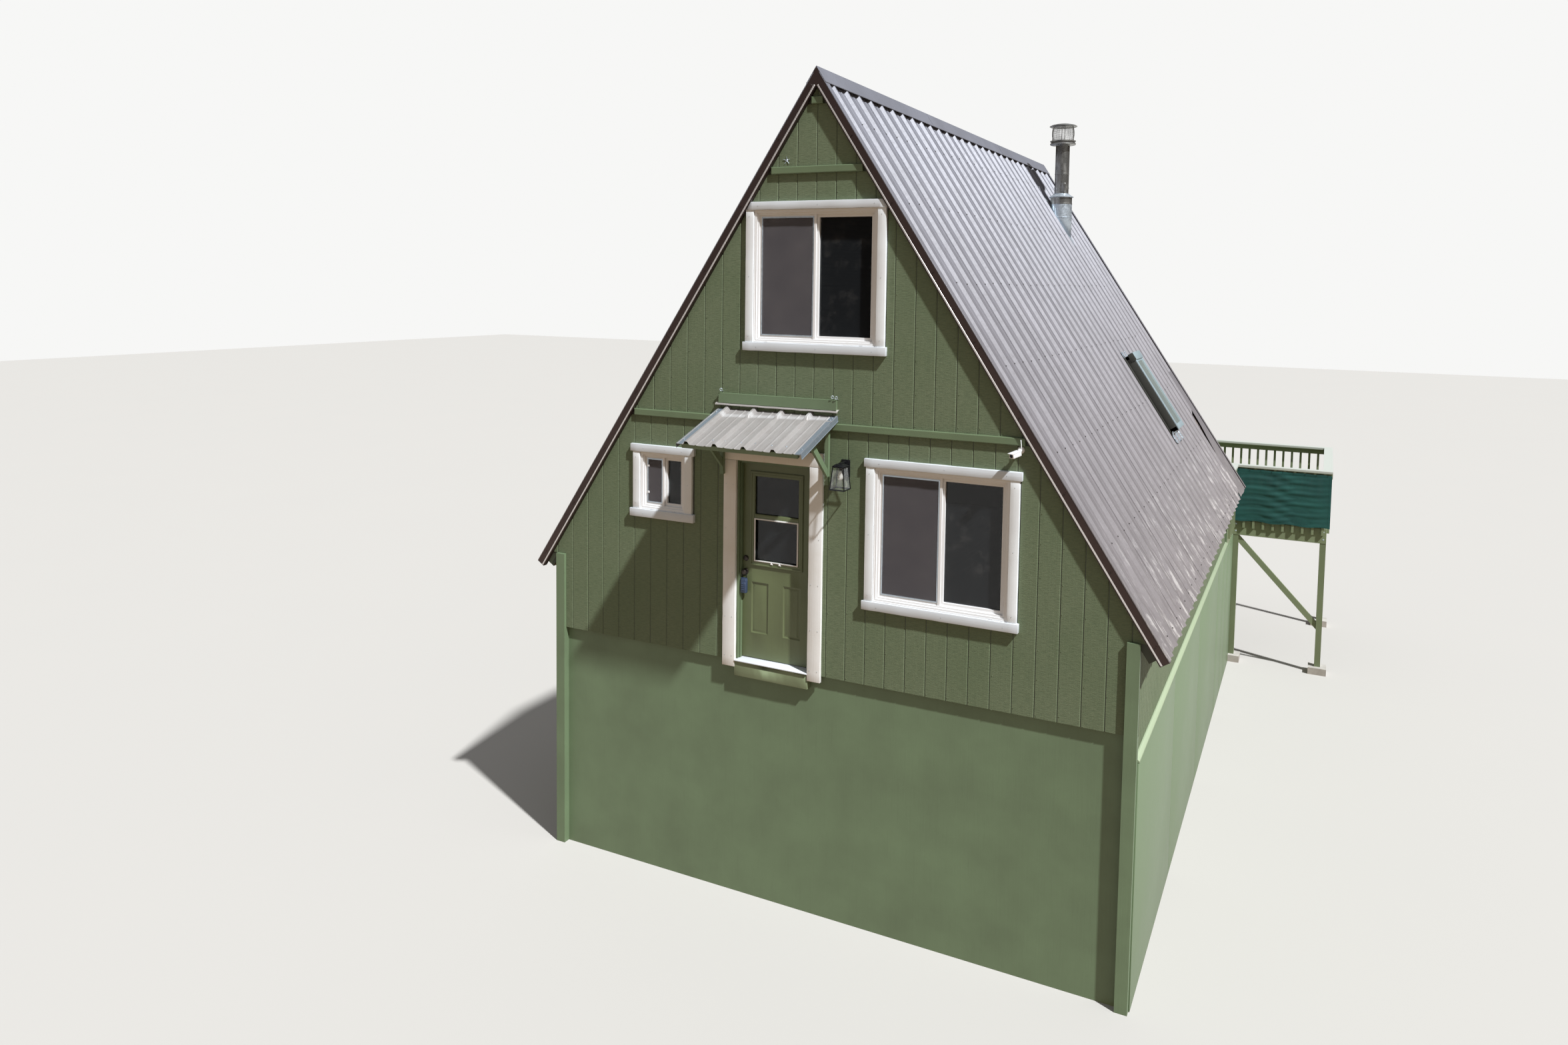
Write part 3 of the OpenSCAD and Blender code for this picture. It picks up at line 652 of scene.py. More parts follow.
# Pale metal: bare on the wall flashing, and a painted highlight of the sun's glint on the drip edges.
bare_metal_and_painted_glint = plain_metal("bare_metal_and_painted_glint", "galvanized", (0.72, 0.68, 0.66), (0.45, 0.4, 0.38), 0.6, 0.35)
roof_timber = bare_timber("roof_timber", (0.42, 0.29, 0.17), (0.3, 0.19, 0.1))
floor_timber = bare_timber("floor_timber", (0.45, 0.31, 0.18), (0.33, 0.21, 0.11))
concrete = cast_concrete()
vinyl = smooth_plastic("white_vinyl", "window_white", (0.72, 0.72, 0.72), 0.32)
camera_plastic = smooth_plastic("camera_plastic", "camera_white", (0.74, 0.75, 0.76), 0.3)
door_paint = painted_board(
    "green_door", "door_green", (0.13, 0.158, 0.075), (0.095, 0.112, 0.052), roughness=0.4
)
window_board = painted_board(
    "white_rough_boards", "window_white", (0.8, 0.84, 0.865), (0.6, 0.6, 0.6), roughness=0.6
)
print("finishes:", len(bpy.data.materials))

# %% [markdown]
# ## Camera, light and floor
#
# The photograph was taken from the right of the door at about the height of the loft window,
# with a wide lens. Its place, turn and lens were worked out from the level and upright lines of
# the front wall. The shift lowers the frame a little, so that the tall foundation is in the
# picture down to its foot. A broad sun stands high on the right, as it does there, and a pale
# world fills the shade.

# %% Set the camera, the lamps and the floor
CAMERA_PLACE = Vector((4.376, -9.317, 6.26))
CAMERA_YAW = math.radians(26.93)
CAMERA_DOWN = math.radians(4.068)
CAMERA_ROLL = math.radians(-0.74)
CAMERA_LENS = 24.6
CAMERA_SHIFT = -0.104
SUN_FROM = Vector((2.6, -1.15, 3.65))
SUN_STRENGTH = 6.2
SUN_SPREAD = math.radians(1.8)
SUN_COLOUR = (0.96, 0.98, 1.0)
SKY_STRENGTH = 0.40
BACKDROP = (0.93, 0.93, 0.92)
HORIZON = {"From Min": 0.15, "From Max": 0.55, "To Min": 0.12}
FILL_BELOW = (1.0, 0.64, 0.3)
FILL_ABOVE = (0.86, 0.87, 0.9)
FLOOR_COLOUR = (0.453, 0.437, 0.41)
FLOOR_PATCH = (0.41, 0.405, 0.395)
FLOOR_SIZE = 160


def set_camera():
    lens = bpy.data.cameras.new("camera")
    lens.lens = CAMERA_LENS
    lens.shift_y = CAMERA_SHIFT
    camera = bpy.data.objects.new("camera", lens)
    bpy.context.scene.collection.objects.link(camera)
    turn = (
        Matrix.Rotation(CAMERA_YAW, 4, "Z")
        @ Matrix.Rotation(math.pi / 2 - CAMERA_DOWN, 4, "X")
        @ Matrix.Rotation(-CAMERA_ROLL, 4, "Z")
    )
    camera.matrix_world = Matrix.Translation(CAMERA_PLACE) @ turn
    bpy.context.scene.camera = camera


def set_sun():
    lamp = bpy.data.lights.new("sun", "SUN")
    lamp.energy = SUN_STRENGTH
    lamp.angle = SUN_SPREAD
    lamp.color = SUN_COLOUR
    sun = bpy.data.objects.new("sun", lamp)
    sun.rotation_euler = SUN_FROM.to_track_quat("Z", "Y").to_euler()
    bpy.context.scene.collection.objects.link(sun)


def set_world():
    """Fill light, cool from above and warm from below; the camera sees a plain white backdrop.

    Glossy surfaces see a dim horizon, so that metal and glass don't shine all over.
    """
    world = bpy.data.worlds.new("studio")
    bpy.context.scene.world = world
    world.use_nodes = True
    tree = world.node_tree

    def add(kind, values=()):
        node = tree.nodes.new(kind)
        for key, value in dict(values).items():
            set_socket(node.inputs[key], value)
        return node

    def link(output, entry):
        tree.links.new(output, entry)

    way = add("ShaderNodeTexCoord")
    split = add("ShaderNodeSeparateXYZ")
    level = add("ShaderNodeMapRange", {"From Min": -0.5, "From Max": 0.5})
    tint = add("ShaderNodeMixRGB", {1: FILL_BELOW, 2: FILL_ABOVE})
    link(way.outputs["Generated"], split.inputs[0])
    link(split.outputs["Z"], level.inputs["Value"])
    link(level.outputs["Result"], tint.inputs[0])
    rays = add("ShaderNodeLightPath").outputs
    horizon = add("ShaderNodeMapRange", HORIZON)
    link(split.outputs["Z"], horizon.inputs["Value"])
    power = add("ShaderNodeMixRGB", {1: (1, 1, 1)})
    link(rays["Is Glossy Ray"], power.inputs[0])
    link(horizon.outputs["Result"], power.inputs[2])
    shade = add("ShaderNodeMixRGB", {0: 1.0})
    shade.blend_type = "MULTIPLY"
    link(tint.outputs[0], shade.inputs[1])
    link(power.outputs[0], shade.inputs[2])
    sky = tree.nodes["Background"]
    link(shade.outputs[0], sky.inputs["Color"])
    sky.inputs["Strength"].default_value = SKY_STRENGTH
    backdrop = add("ShaderNodeBackground", {"Color": BACKDROP})
    seen = add("ShaderNodeMath")
    seen.operation = "MAXIMUM"
    link(rays["Is Camera Ray"], seen.inputs[0])
    link(rays["Is Transmission Ray"], seen.inputs[1])
    choose = add("ShaderNodeMixShader")
    link(seen.outputs[0], choose.inputs[0])
    link(sky.outputs[0], choose.inputs[1])
    link(backdrop.outputs[0], choose.inputs[2])
    link(choose.outputs[0], tree.nodes["World Output"].inputs["Surface"])


def set_floor():
    deselect()
    bpy.ops.mesh.primitive_plane_add(size=FLOOR_SIZE, location=(0, 6, -0.001))
    floor = settle("floor")
    finish = Finish("studio_floor", "board_green", Roughness=0.9)
    cloud = finish.noise(0.4, detail=2.0)
    finish.paint(Base_Color=finish.blend(cloud * 0.15, FLOOR_COLOUR, FLOOR_PATCH))
    dress(floor, finish)
    floor.visible_diffuse = False


set_camera()
set_sun()
set_world()
set_floor()
bpy.context.scene.view_settings.view_transform = "Standard"
print("camera at", [round(v, 2) for v in CAMERA_PLACE], "lens", CAMERA_LENS)

# %% [markdown]
# ## Grooved siding
#
# The walls are clad in sheets of plywood siding with a groove every eight inches. Grooves could
# be drawn as a bump, but a low sun shows at once that nothing is cut. Here one flat sheet is
# cut to the gable, then along each groove and round everything that is nailed on top of it.
# The strips under those are deleted, and Solidify gives the rest its thickness, so that the
# packed wall behind shows as the bottom of each groove; that wall is painted dark green as
# painted shade in the grooves. One wall of each groove slopes, and shows in the sun as a pale
# line beside the dark one.

# %% Cut the gable siding
GROOVE_PITCH = 0.2032
GROOVE_WIDTH = 0.006
GROOVE_SLOPE = 0.009
PLY_FACE = 0.005
LOWER_PHASE = -2.880
UPPER_PHASE = 0.0
BELT_LEVELS = (2.418, 4.855, 5.500)
BELT_DEPTH = 0.068
CORNER_WIDTH = 0.110
CORNER_TOP = 0.820
TUCK = 0.012
FAR = 9


def covered_places(front):
    """Left, right, bottom and top of what boards, windows or the doorway cover."""
    places = [(-FAR, FAR, FLOOR_Z + z, FLOOR_Z + z + BELT_DEPTH) for z in BELT_LEVELS]
    top = FLOOR_Z + CORNER_TOP
    places.append((HALF_W - CORNER_WIDTH, FAR, 0, top))
    places.append((-FAR, CORNER_WIDTH - HALF_W, 0, top))
    if front:
        for node in ("door_casing", "small_window", "large_window", "upper_window"):
            low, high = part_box(node)
            places.append((low.x + TUCK, high.x - TUCK, low.z + TUCK, high.z - TUCK))
    return places


def inside(point, rectangle):
    left, right, bottom, top = rectangle
    return left < point.x < right and bottom < point.z < top


def groove_lines(low, high, phase):
    """Places across the wall of all grooves between two limits."""
    first = math.ceil((low - phase) / GROOVE_PITCH)
    last = math.floor((high - phase) / GROOVE_PITCH)
    return [phase + n * GROOVE_PITCH for n in range(first, last + 1)]


def gable_sheet(name, bottom, top, phase, places):
    """One band of siding between two levels, cut to the roof and to what covers it."""
    width = roof_point(TAIL_S, RAKE_DEPTH)[0]
    sheet = add_sheet(name, (-width, FRONT_Y, bottom), (width, FRONT_Y, top))
    for side in (1, -1):
        out = (side * math.sin(PITCH), 0, math.cos(PITCH))
        for depth, clear in ((RAKE_DEPTH, True), (UNDER_DEPTH, False)):
            x, z = roof_point(0, depth, side)
            cut(sheet, (x, FRONT_Y, z), out, clear_outer=clear)
        x, z = roof_point(TAIL_S, 0, side)
        cut(sheet, (x, FRONT_Y, z), (side * math.cos(PITCH), 0, -math.sin(PITCH)))
        cut(sheet, (side * HALF_W, FRONT_Y, 0), (1, 0, 0))

    def past_eave(face):
        spot = middle(face)
        past_tail = (abs(spot.x) - x) * math.cos(PITCH) > (spot.z - z) * math.sin(PITCH)
        return abs(spot.x) > HALF_W and (past_tail or spot.z < roof_height(spot.x, UNDER_DEPTH))

    x, z = roof_point(TAIL_S, 0)
    remove_faces(sheet, past_eave)
    for left, right, low, high in places:
        for x in (left, right):
            if abs(x) < width:
                cut(sheet, (x, 0, 0), (1, 0, 0))
        for z in (low, high):
            if bottom < z < top:
                cut(sheet, (0, 0, z), (0, 0, 1))
    remove_faces(sheet, lambda face: any(inside(middle(face), p) for p in places))
    grooves = groove_lines(-width, width, phase)
    half = GROOVE_WIDTH / 2
    for x in grooves:
        cut(sheet, (x - half, 0, 0), (1, 0, 0))
        cut(sheet, (x + half, 0, 0), (1, 0, 0))
    remove_faces(sheet, lambda face: any(abs(middle(face).x - x) < half for x in grooves))
    return sheet


def slope_grooves(siding, split):
    """Widens the mouth of each groove to its left, so that this wall of it faces the sun."""
    for vertex in siding.data.vertices:
        phase = LOWER_PHASE if vertex.co.z < split else UPPER_PHASE
        from_line = (vertex.co.x - phase + GROOVE_PITCH / 2) % GROOVE_PITCH - GROOVE_PITCH / 2
        if vertex.co.y < FRONT_Y - PLY_FACE / 2 and abs(from_line + GROOVE_WIDTH / 2) < 0.0002:
            vertex.co.x -= GROOVE_SLOPE


def clad_gable(name, front=True):
    """Both bands of a gable as one piece; the rear one is made in front and then mirrored."""
    places = covered_places(front)
    split = FLOOR_Z + BELT_LEVELS[0] + BELT_DEPTH / 2
    lower = gable_sheet("lower_band", FLOOR_Z, split, LOWER_PHASE, places)
    upper = gable_sheet("upper_band", split, RIDGE_Z, UPPER_PHASE, places)
    siding = join(name, [lower, upper])
    edit_all(siding)
    bpy.ops.mesh.dissolve_limited(angle_limit=math.radians(1))
    leave()
    modify(siding, "SOLIDIFY", thickness=PLY_FACE, offset=1.0)
    slope_grooves(siding, split)
    soften(siding, 0.0008, 1)
    bpy.ops.object.shade_flat()
    if not front:
        turn = Matrix.Translation((0, FRONT_Y + REAR_Y, 0)) @ Matrix.Scale(-1, 4, (0, 1, 0))
        place(siding, turn)
    return hand_over(siding, siding_paint)


def belt_boards():
    """Level boards over the joints of the siding, with eased edges that catch the sun."""
    low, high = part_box("belt_boards")
    parts = []
    for level in BELT_LEVELS:
        bottom = FLOOR_Z + level
        top = bottom + BELT_DEPTH
        half = (RIDGE_Z - RAKE_DEPTH / math.cos(PITCH) - top) / math.tan(PITCH)
        for y0, y1, face in ((low.y, FRONT_Y, low.y), (REAR_Y, high.y, high.y)):
            board = add_box("belt", (-half, y0, bottom), (half, y1, top))
            select_by(board, lambda e: all(abs(v.co.y - face) < 0.0005 for v in e.verts), "EDGE")
            bpy.ops.mesh.bevel(offset=0.007, offset_type="OFFSET", segments=2)
            leave()
            parts.append(board)
    return hand_over(join("belts", parts), belt_paint, ["belt_boards"])


clad_gable("front_siding")
clad_gable("rear_siding", front=False)
belt_boards()

# %% [markdown]
# ## Siding under the eaves, and the smooth skirt
#
# The low side walls have the same siding with a groove every four inches, half hidden under the
# eaves. Below it the foundation stands a little proud, in smooth sheets of plywood with open
# joints and a bevelled strip along the top. Each sheet is a box with eased edges.

# %% Clad the side walls and the foundation
SIDE_GROOVE_PITCH = 0.1016
SHEET_LENGTH = 2.44
LAST_JOINT = 8.16
JOINT = 0.010
SKIRT_SHEET = 0.012
SILL_DEPTH = 0.045


def side_siding(name, side):
    """Narrow upright strips between the skirt and the roof's underside."""
    low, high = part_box("side_wall_right")
    x = side * SIDE_X
    top = roof_height(SIDE_X + PLY_FACE, UNDER_DEPTH)
    count = int((high.y - low.y) / SIDE_GROOVE_PITCH)
    strip = add_box(
        "strip",
        (min(x, x + side * PLY_FACE), low.y + 0.002, SKIRT_TOP),
        (max(x, x + side * PLY_FACE), low.y + SIDE_GROOVE_PITCH - 0.006, top - 0.002),
    )
    repeat(soften(strip, 0.001, 1), count, SIDE_GROOVE_PITCH)
    strip.name = name
    return hand_over(strip, siding_paint)


def skirt_sheets(side):
    """Plywood sheets along one side, with open joints between them."""
    low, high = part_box("skirt_right")
    rear_step = REAR_Y + 0.042
    joints = [low.y - 0.02] + [low.y + n * SHEET_LENGTH for n in (1, 2, 3)] + [LAST_JOINT]
    sheets = []
    for start, end in zip(joints, joints[1:] + [rear_step]):
        sheets.append((start + JOINT / 2, end - JOINT / 2, SKIRT_TOP - 0.004))
    sheets.append((rear_step + JOINT / 2, high.y - 0.004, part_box("foundation_rear")[1].z - 0.004))
    x0, x1 = sorted((side * (HALF_W - 0.004), side * (HALF_W + SKIRT_SHEET)))
    parts = [eased_box("sheet", (x0, start, 0), (x1, end, top), 0.004, 2) for start, end, top in sheets]
    return join("skirt_sheets", parts)


def skirt_sill(side):
    """The bevelled strip on top of the skirt."""
    x0, x1 = sorted((side * (SIDE_X + PLY_FACE), side * (HALF_W + SKIRT_SHEET + 0.006)))
    sill = add_box("sill", (x0, -0.03, SKIRT_TOP - 0.002), (x1, REAR_Y + 0.03, SKIRT_TOP + SILL_DEPTH))

    def upper_rim(edge):
        return all(side * v.co.x > HALF_W and v.co.z > SKIRT_TOP + 0.01 for v in edge.verts)

    select_by(sill, upper_rim, "EDGE")
    bpy.ops.mesh.bevel(offset=0.028, offset_type="OFFSET", segments=1)
    leave()
    return soften(sill, 0.002, 1)


for side, word in ((1, "right"), (-1, "left")):
    side_siding("side_siding_" + word, side)
    skirt = join("skirt_panels_" + word, [skirt_sheets(side), skirt_sill(side)])
    hand_over(skirt, skirt_paint)

# %% [markdown]
# ## Ribbed roof sheets
#
# The sheets have a high rib every foot and two low ones between. A row of boxes would give the
# outline but not thin metal with open rib ends. So one strip, a single rib wide, is cut
# lengthwise at each fold and its top is lifted. Array repeats it along the ridge, and Solidify
# gives it a metal edge. The sheet is made flat, and then turned onto its slope.

# %% Fold a ribbed sheet
RIB_BASE = 0.066
RIB_TOP = 0.026
MINOR_BASE = 0.024
MINOR_TOP = 0.010
MINOR_H = 0.005
METAL = 0.0015
CAP_S = 0.062


def rib_strip(length):
    """One rib pitch of flat sheet with its folds, along X, with the rib's base at z = 0."""
    deselect()
    bpy.ops.mesh.primitive_plane_add(size=1)
    bpy.ops.transform.resize(value=(length, RIB_PITCH, 1))
    bpy.ops.transform.translate(value=(length / 2, 0, 0))
    strip = settle("rib_strip")
    minor = RIB_PITCH / 3
    for centre in (0, minor, -minor):
        for width in (MINOR_BASE, MINOR_TOP) if centre else (RIB_BASE, RIB_TOP):
            cut(strip, (0, centre - width / 2, 0), (0, 1, 0))
            cut(strip, (0, centre + width / 2, 0), (0, 1, 0))
    shift_part(strip, lambda face: abs(middle(face).y) < RIB_TOP / 2, (0, 0, RIB_H))
    shift_part(strip, lambda face: abs(abs(middle(face).y) - minor) < MINOR_TOP / 2, (0, 0, MINOR_H))
    return modify(strip, "BEVEL", width=0.004, segments=3, limit_method="ANGLE")


def ribbed_sheet(length, first_rib, width):
    """A sheet from y = 0 to y = width, with its first rib at first_rib."""
    sheet = rib_strip(length)
    before = math.ceil(first_rib / RIB_PITCH)
    count = before + math.ceil((width - first_rib) / RIB_PITCH) + 1
    place(sheet, Matrix.Translation((0, first_rib - before * RIB_PITCH, 0)))
    repeat(sheet, count, RIB_PITCH, use_merge_vertices=True, merge_threshold=0.0005)
    cut(sheet, (0, 0, 0), (0, 1, 0), clear_inner=True)
    cut(sheet, (0, width, 0), (0, 1, 0), clear_outer=True)
    return sheet


def roof_screw():
    """A hexagon head on its washer, standing on z = 0."""
    washer = add_rod("washer", (0, 0, 0), (0, 0, 0.002), 0.0085, 10)
    head = add_rod("head", (0, 0, 0.002), (0, 0, 0.0075), 0.0055, 6, 0.0048)
    return join("screw", [washer, head])


def scatter(model, name, matrices):
    """Copies a small model to many places as one piece, and removes the model."""
    copies = [copy_piece(model, name, matrix) for matrix in matrices]
    bpy.data.objects.remove(model)
    return join(name, copies)


print("rib", RIB_BASE, "by", RIB_H, "with low ribs of", MINOR_H)

# %% [markdown]
# ## The two slopes
#
# Both slopes take the same sheet. The right one has a hole for the roof window, and behind the
# flue its last sheet was cut at a slant, with a strip of flashing beyond it. Where two sheets
# lap, an edge lies on the next one, which shows as a fine line beside every third rib. Screws
# stand in rows at the feet of the ribs.

# %% Lay the roof sheets and their screws
SKYLIGHT_HOLE = (3.60, 4.66, 5.85, 6.28)
SCREW_ROWS = (0.57, 1.47, 2.37, 3.27, 4.18, 5.09, 6.00)
NO_SCREWS = (3.5, 4.8, 5.75, 6.4)
LAST_SCREWS = 7.9
LAP_WIDTH = 0.014
ROOF_W = REAR_Y - FRONT_Y
SLANT_START = Vector((3.98, ROOF_W - 0.31, 0))
SLANT_END = Vector((SLOPE_L, ROOF_W - 0.80, 0))


def lap_lines(length):
    """The free edges of the sheets, beside every third rib."""
    edges = []
    rib = FIRST_RIB
    while rib < ROOF_W:
        y = rib - RIB_BASE / 2 - LAP_WIDTH
        edges.append(eased_box("lap", (0, y, 0.0008), (length, y + LAP_WIDTH, 0.0035), 0.0006))
        rib += 3 * RIB_PITCH
    return edges


def slope_sheet(name, side):
    length = SLOPE_L - CAP_S
    under_cap = Matrix.Translation((CAP_S, 0, -RIB_H))
    sheet = place(ribbed_sheet(length, FIRST_RIB, ROOF_W), under_cap)
    if side > 0:
        s0, s1, y0, y1 = SKYLIGHT_HOLE
        for s in (s0, s1):
            cut(sheet, (s, 0, 0), (1, 0, 0))
        for y in (y0, y1):
            cut(sheet, (0, y, 0), (0, 1, 0))
        remove_faces(sheet, lambda f: s0 < middle(f).x < s1 and y0 < middle(f).y < y1)
        run = SLANT_END - SLANT_START
        out = Vector((-run.y, run.x, 0)).normalized()
        cut(sheet, SLANT_START, out)
        cut(sheet, (SLANT_START.x, 0, 0), (1, 0, 0))

        def past_slant(face):
            return (middle(face) - SLANT_START).dot(out) > 0 and middle(face).x > SLANT_START.x

        remove_faces(sheet, past_slant)
    modify(sheet, "SOLIDIFY", thickness=METAL, offset=-1.0)
    laps = [place(edge, under_cap) for edge in lap_lines(length - 0.001)]
    sheet = join(name, [sheet] + laps)
    place(sheet, Matrix.Translation((0, FRONT_Y, 0)))
    place(sheet, slope_turn(side))
    smooth(sheet, 12)
    return hand_over(sheet, roof_steel, ["roofing_right" if side > 0 else "roofing_left"])


def slope_screws(name, side):
    random.seed(11 + side)
    matrices = []
    s0, s1, y0, y1 = NO_SCREWS
    for s in SCREW_ROWS:
        for rib in range(int((ROOF_W - FIRST_RIB) / RIB_PITCH) + 1):
            y = FIRST_RIB + rib * RIB_PITCH - RIB_BASE / 2 - 0.014 + random.uniform(-0.005, 0.005)
            if side > 0 and (s0 < s < s1 and y0 < y < y1 or y > LAST_SCREWS):
                continue
            drift = s + random.uniform(-0.012, 0.012)
            matrices.append(slope_turn(side) @ Matrix.Translation((drift, FRONT_Y + y, -RIB_H)))
    screws = scatter(roof_screw(), name, matrices)
    return hand_over(screws, screw_paint)


screw_paint = plain_metal(
    "screw_paint", "roof_metal", (0.07, 0.062, 0.06), (0.25, 0.24, 0.24), 0.3, 0.4
)
slope_sheet("roof_sheet_right", 1)
slope_sheet("roof_sheet_left", -1)
slope_screws("roof_screws_right", 1)
slope_screws("roof_screws_left", -1)

# %% [markdown]
# ## Ridge, rakes and the rear strip
#
# The folded ridge cap keeps its imported shape and gets its rolled hems and the laps between its
# lengths. The brown rake trim ends in a pale drip edge; its pale colour is a painted highlight,
# the bright line of sun down both sides of the gable. Behind the slanting sheet lies a loose strip
# with a wavy edge.

# %% Add hems, drip edges and the rear strip
CAP_WIDTH = 0.175
CAP_LENGTH = 3.05
HEM = 0.005
DRIP = 0.016
DRIP_DEPTH = 0.069
RAKE_SCREWS = (0.75, 1.5, 2.25, 2.98, 3.75, 4.5, 5.25, 5.95)


def section_bar(name, side, s0, s1, d0, d1, y0, y1):
    """A bar whose section is square to the slope, from s0 to s1 and depth d0 to d1."""
    bar = add_box(name, (s0, y0, -d1), (s1, y1, -d0))
    return place(bar, slope_turn(side))


def both_slopes(name, rows, easing):
    """The same eased bars on both slopes, as one piece. Each row holds s0, s1, d0, d1, y0 and y1."""
    bars = [section_bar(name, side, *row) for side in (1, -1) for row in rows]
    return join(name, [soften(bar, easing, 1) for bar in bars])


def ridge_hems():
    """The rolled hems of the ridge cap, and the laps between its lengths."""
    parts = []
    low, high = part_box("ridge_cap")
    for side in (1, -1):
        hem = add_rod("hem", (CAP_WIDTH, low.y, 0.004), (CAP_WIDTH, high.y, 0.004), HEM, 8)
        parts.append(place(hem, slope_turn(side)))
        for y in (low.y + CAP_LENGTH, low.y + 2 * CAP_LENGTH):
            lap = section_bar("cap_lap", side, 0.0, CAP_WIDTH + 0.002, -0.0085, -0.006, y, y + 0.10)
            parts.append(lap)
    return join("ridge_hems", parts)


def rake_end(rear):
    """The wall's face, the rake trim's face and the way out, at one end of the roof."""
    if rear:
        return REAR_Y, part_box("rake_trim_rear")[1].y, 1
    return FRONT_Y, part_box("rake_trim_front")[0].y, -1


def drip_edges(name, rear):
    """A pale bar along the foot of the rake trim; its paleness is a painted highlight."""
    wall, face, way = rake_end(rear)
    y0, y1 = sorted((face + way * 0.003, wall + way * 0.012))
    row = (0.148, SLOPE_L - 0.004, DRIP_DEPTH, DRIP_DEPTH + DRIP, y0, y1)
    return hand_over(both_slopes(name, [row], 0.002), bare_metal_and_painted_glint)


def edge_sheets(name, rear):
    """The end sheets run out over the top of the rake trim and are hemmed there."""
    wall, face, way = rake_end(rear)
    leaf = (CAP_S, SLOPE_L - 0.005, -0.0016, 0.001, *sorted((face, wall - way * 0.03)))
    hem = (CAP_S, SLOPE_L - 0.005, -0.0016, 0.006, *sorted((face, face + way * 0.0025)))
    return hand_over(both_slopes(name, [leaf, hem], 0.0008), roof_steel)


def rake_joints(name, rear):
    """The upper length of trim laps over the lower one, and screws hold both."""
    face, way = rake_end(rear)[1:]
    outer = face + way * 0.002
    y0, y1 = sorted((face, outer))
    turn = Matrix.Rotation(math.radians(-90 * way), 4, "X")
    parts = []
    for side in (1, -1):
        sleeve = section_bar("sleeve", side, 0.16, 3.05, 0.007, DRIP_DEPTH - 0.001, y0, y1)
        parts.append(soften(sleeve, 0.0008, 1))
        for s in RAKE_SCREWS:
            spot = Matrix.Translation((s, outer, -DRIP_DEPTH * 0.5))
            parts.append(place(roof_screw(), slope_turn(side) @ spot @ turn))
    return hand_over(join(name, parts), trim_steel)


def rear_strip():
    """A narrow sheet beyond the slant, with a low rib and a wavy free edge."""
    deselect()
    bpy.ops.mesh.primitive_grid_add(x_subdivisions=40, y_subdivisions=8, size=1)
    strip = settle("rear_strip")
    random.seed(5)
    phase = [random.uniform(0, 6.28) for _ in range(4)]
    for vertex in strip.data.vertices:
        along, across = vertex.co.x + 0.5, vertex.co.y + 0.5
        near = SLANT_START.lerp(SLANT_END, along)
        wave = 0.016 * math.sin(9 * along + phase[0]) + 0.009 * math.sin(23 * along + phase[1])
        near_y = near.y + 0.012 + wave * (1 - across)
        y = near_y + (ROOF_W - near_y) * across
        lift = 0.020 + 0.010 * math.sin(7 * along + phase[2]) * (1 - across)
        if 0.35 < across < 0.65:
            lift += 0.012
        vertex.co = (near.x, FRONT_Y + y, lift - RIB_H)
    modify(strip, "SOLIDIFY", thickness=METAL * 2, offset=-1.0)
    place(strip, slope_turn(1))
    return hand_over(smooth(face_out(strip), 30), roof_steel)


hand_over(ridge_hems(), roof_steel)
drip_edges("drip_edge_front", False)
drip_edges("drip_edge_rear", True)
edge_sheets("edge_sheets_front", False)
edge_sheets("edge_sheets_rear", True)
rake_joints("rake_sleeves_front", False)
rake_joints("rake_sleeves_rear", True)
rear_strip()

# %% [markdown]
# ## Stepped frames and rough boards
#
# The vinyl window frames step back three times from the wall to the glass. Such a frame is one
# box whose front face is inset and pushed back, again and again, and whose middle is bridged
# through to the back. The boards round it are rough-sawn: their long edges are divided and
# nudged a little, so that no edge runs dead straight.

# %% Helpers for frames and boards


def stepped_frame(name, low, high, steps, back=1):
    """A frame in a wall. Each step is a width and how far its face then drops back."""
    low, high = Vector(low), Vector(high)
    centre = (low + high) / 2
    frame_box = add_box(name, low, high)
    select_by(frame_box, lambda face: face.normal.y * back < -0.9)
    for width, drop in steps:
        bpy.ops.mesh.inset(thickness=width, depth=0)
        if drop:
            bpy.ops.mesh.extrude_region_move(TRANSFORM_OT_translate={"value": (0, drop * back, 0)})
    leave()
    select_by(frame_box, lambda face: face.normal.y * back > 0.9)
    bpy.ops.mesh.inset(thickness=sum(width for width, drop in steps), depth=0)
    leave()
    select_by(
        frame_box,
        lambda face: abs(face.normal.y) > 0.9
        and abs(middle(face).x - centre.x) < 0.0001
        and abs(middle(face).z - centre.z) < 0.0001,
    )
    bpy.ops.mesh.bridge_edge_loops()
    leave()
    return frame_box


def rough_board(name, low, high, wobble, seed):
    """A board whose long edges are not quite straight."""
    low, high = Vector(low), Vector(high)
    size = high - low
    axis = max(range(3), key=lambda n: size[n])
    board = add_box(name, low, high)

    def is_long(edge):
        return abs((edge.verts[0].co - edge.verts[1].co)[axis]) > size[axis] * 0.9

    select_by(board, is_long, "EDGE")
    bpy.ops.mesh.subdivide(number_cuts=max(2, int(size[axis] / 0.09)))
    bpy.ops.mesh.select_all(action="SELECT")
    bpy.ops.transform.vertex_random(offset=wobble, seed=seed)
    leave()
    return soften(board, 0.003, 2)


def nail_heads(name, places, radius, out=(0, -1, 0)):
    """Small flat heads at many places, as one piece."""
    head = add_rod("head", (0, 0, 0), (0, 0, 0.0022), radius, 7, radius * 0.8)
    turn = Vector(out).to_track_quat("Z", "Y").to_matrix().to_4x4()
    return scatter(head, name, [Matrix.Translation(Vector(p)) @ turn for p in places])


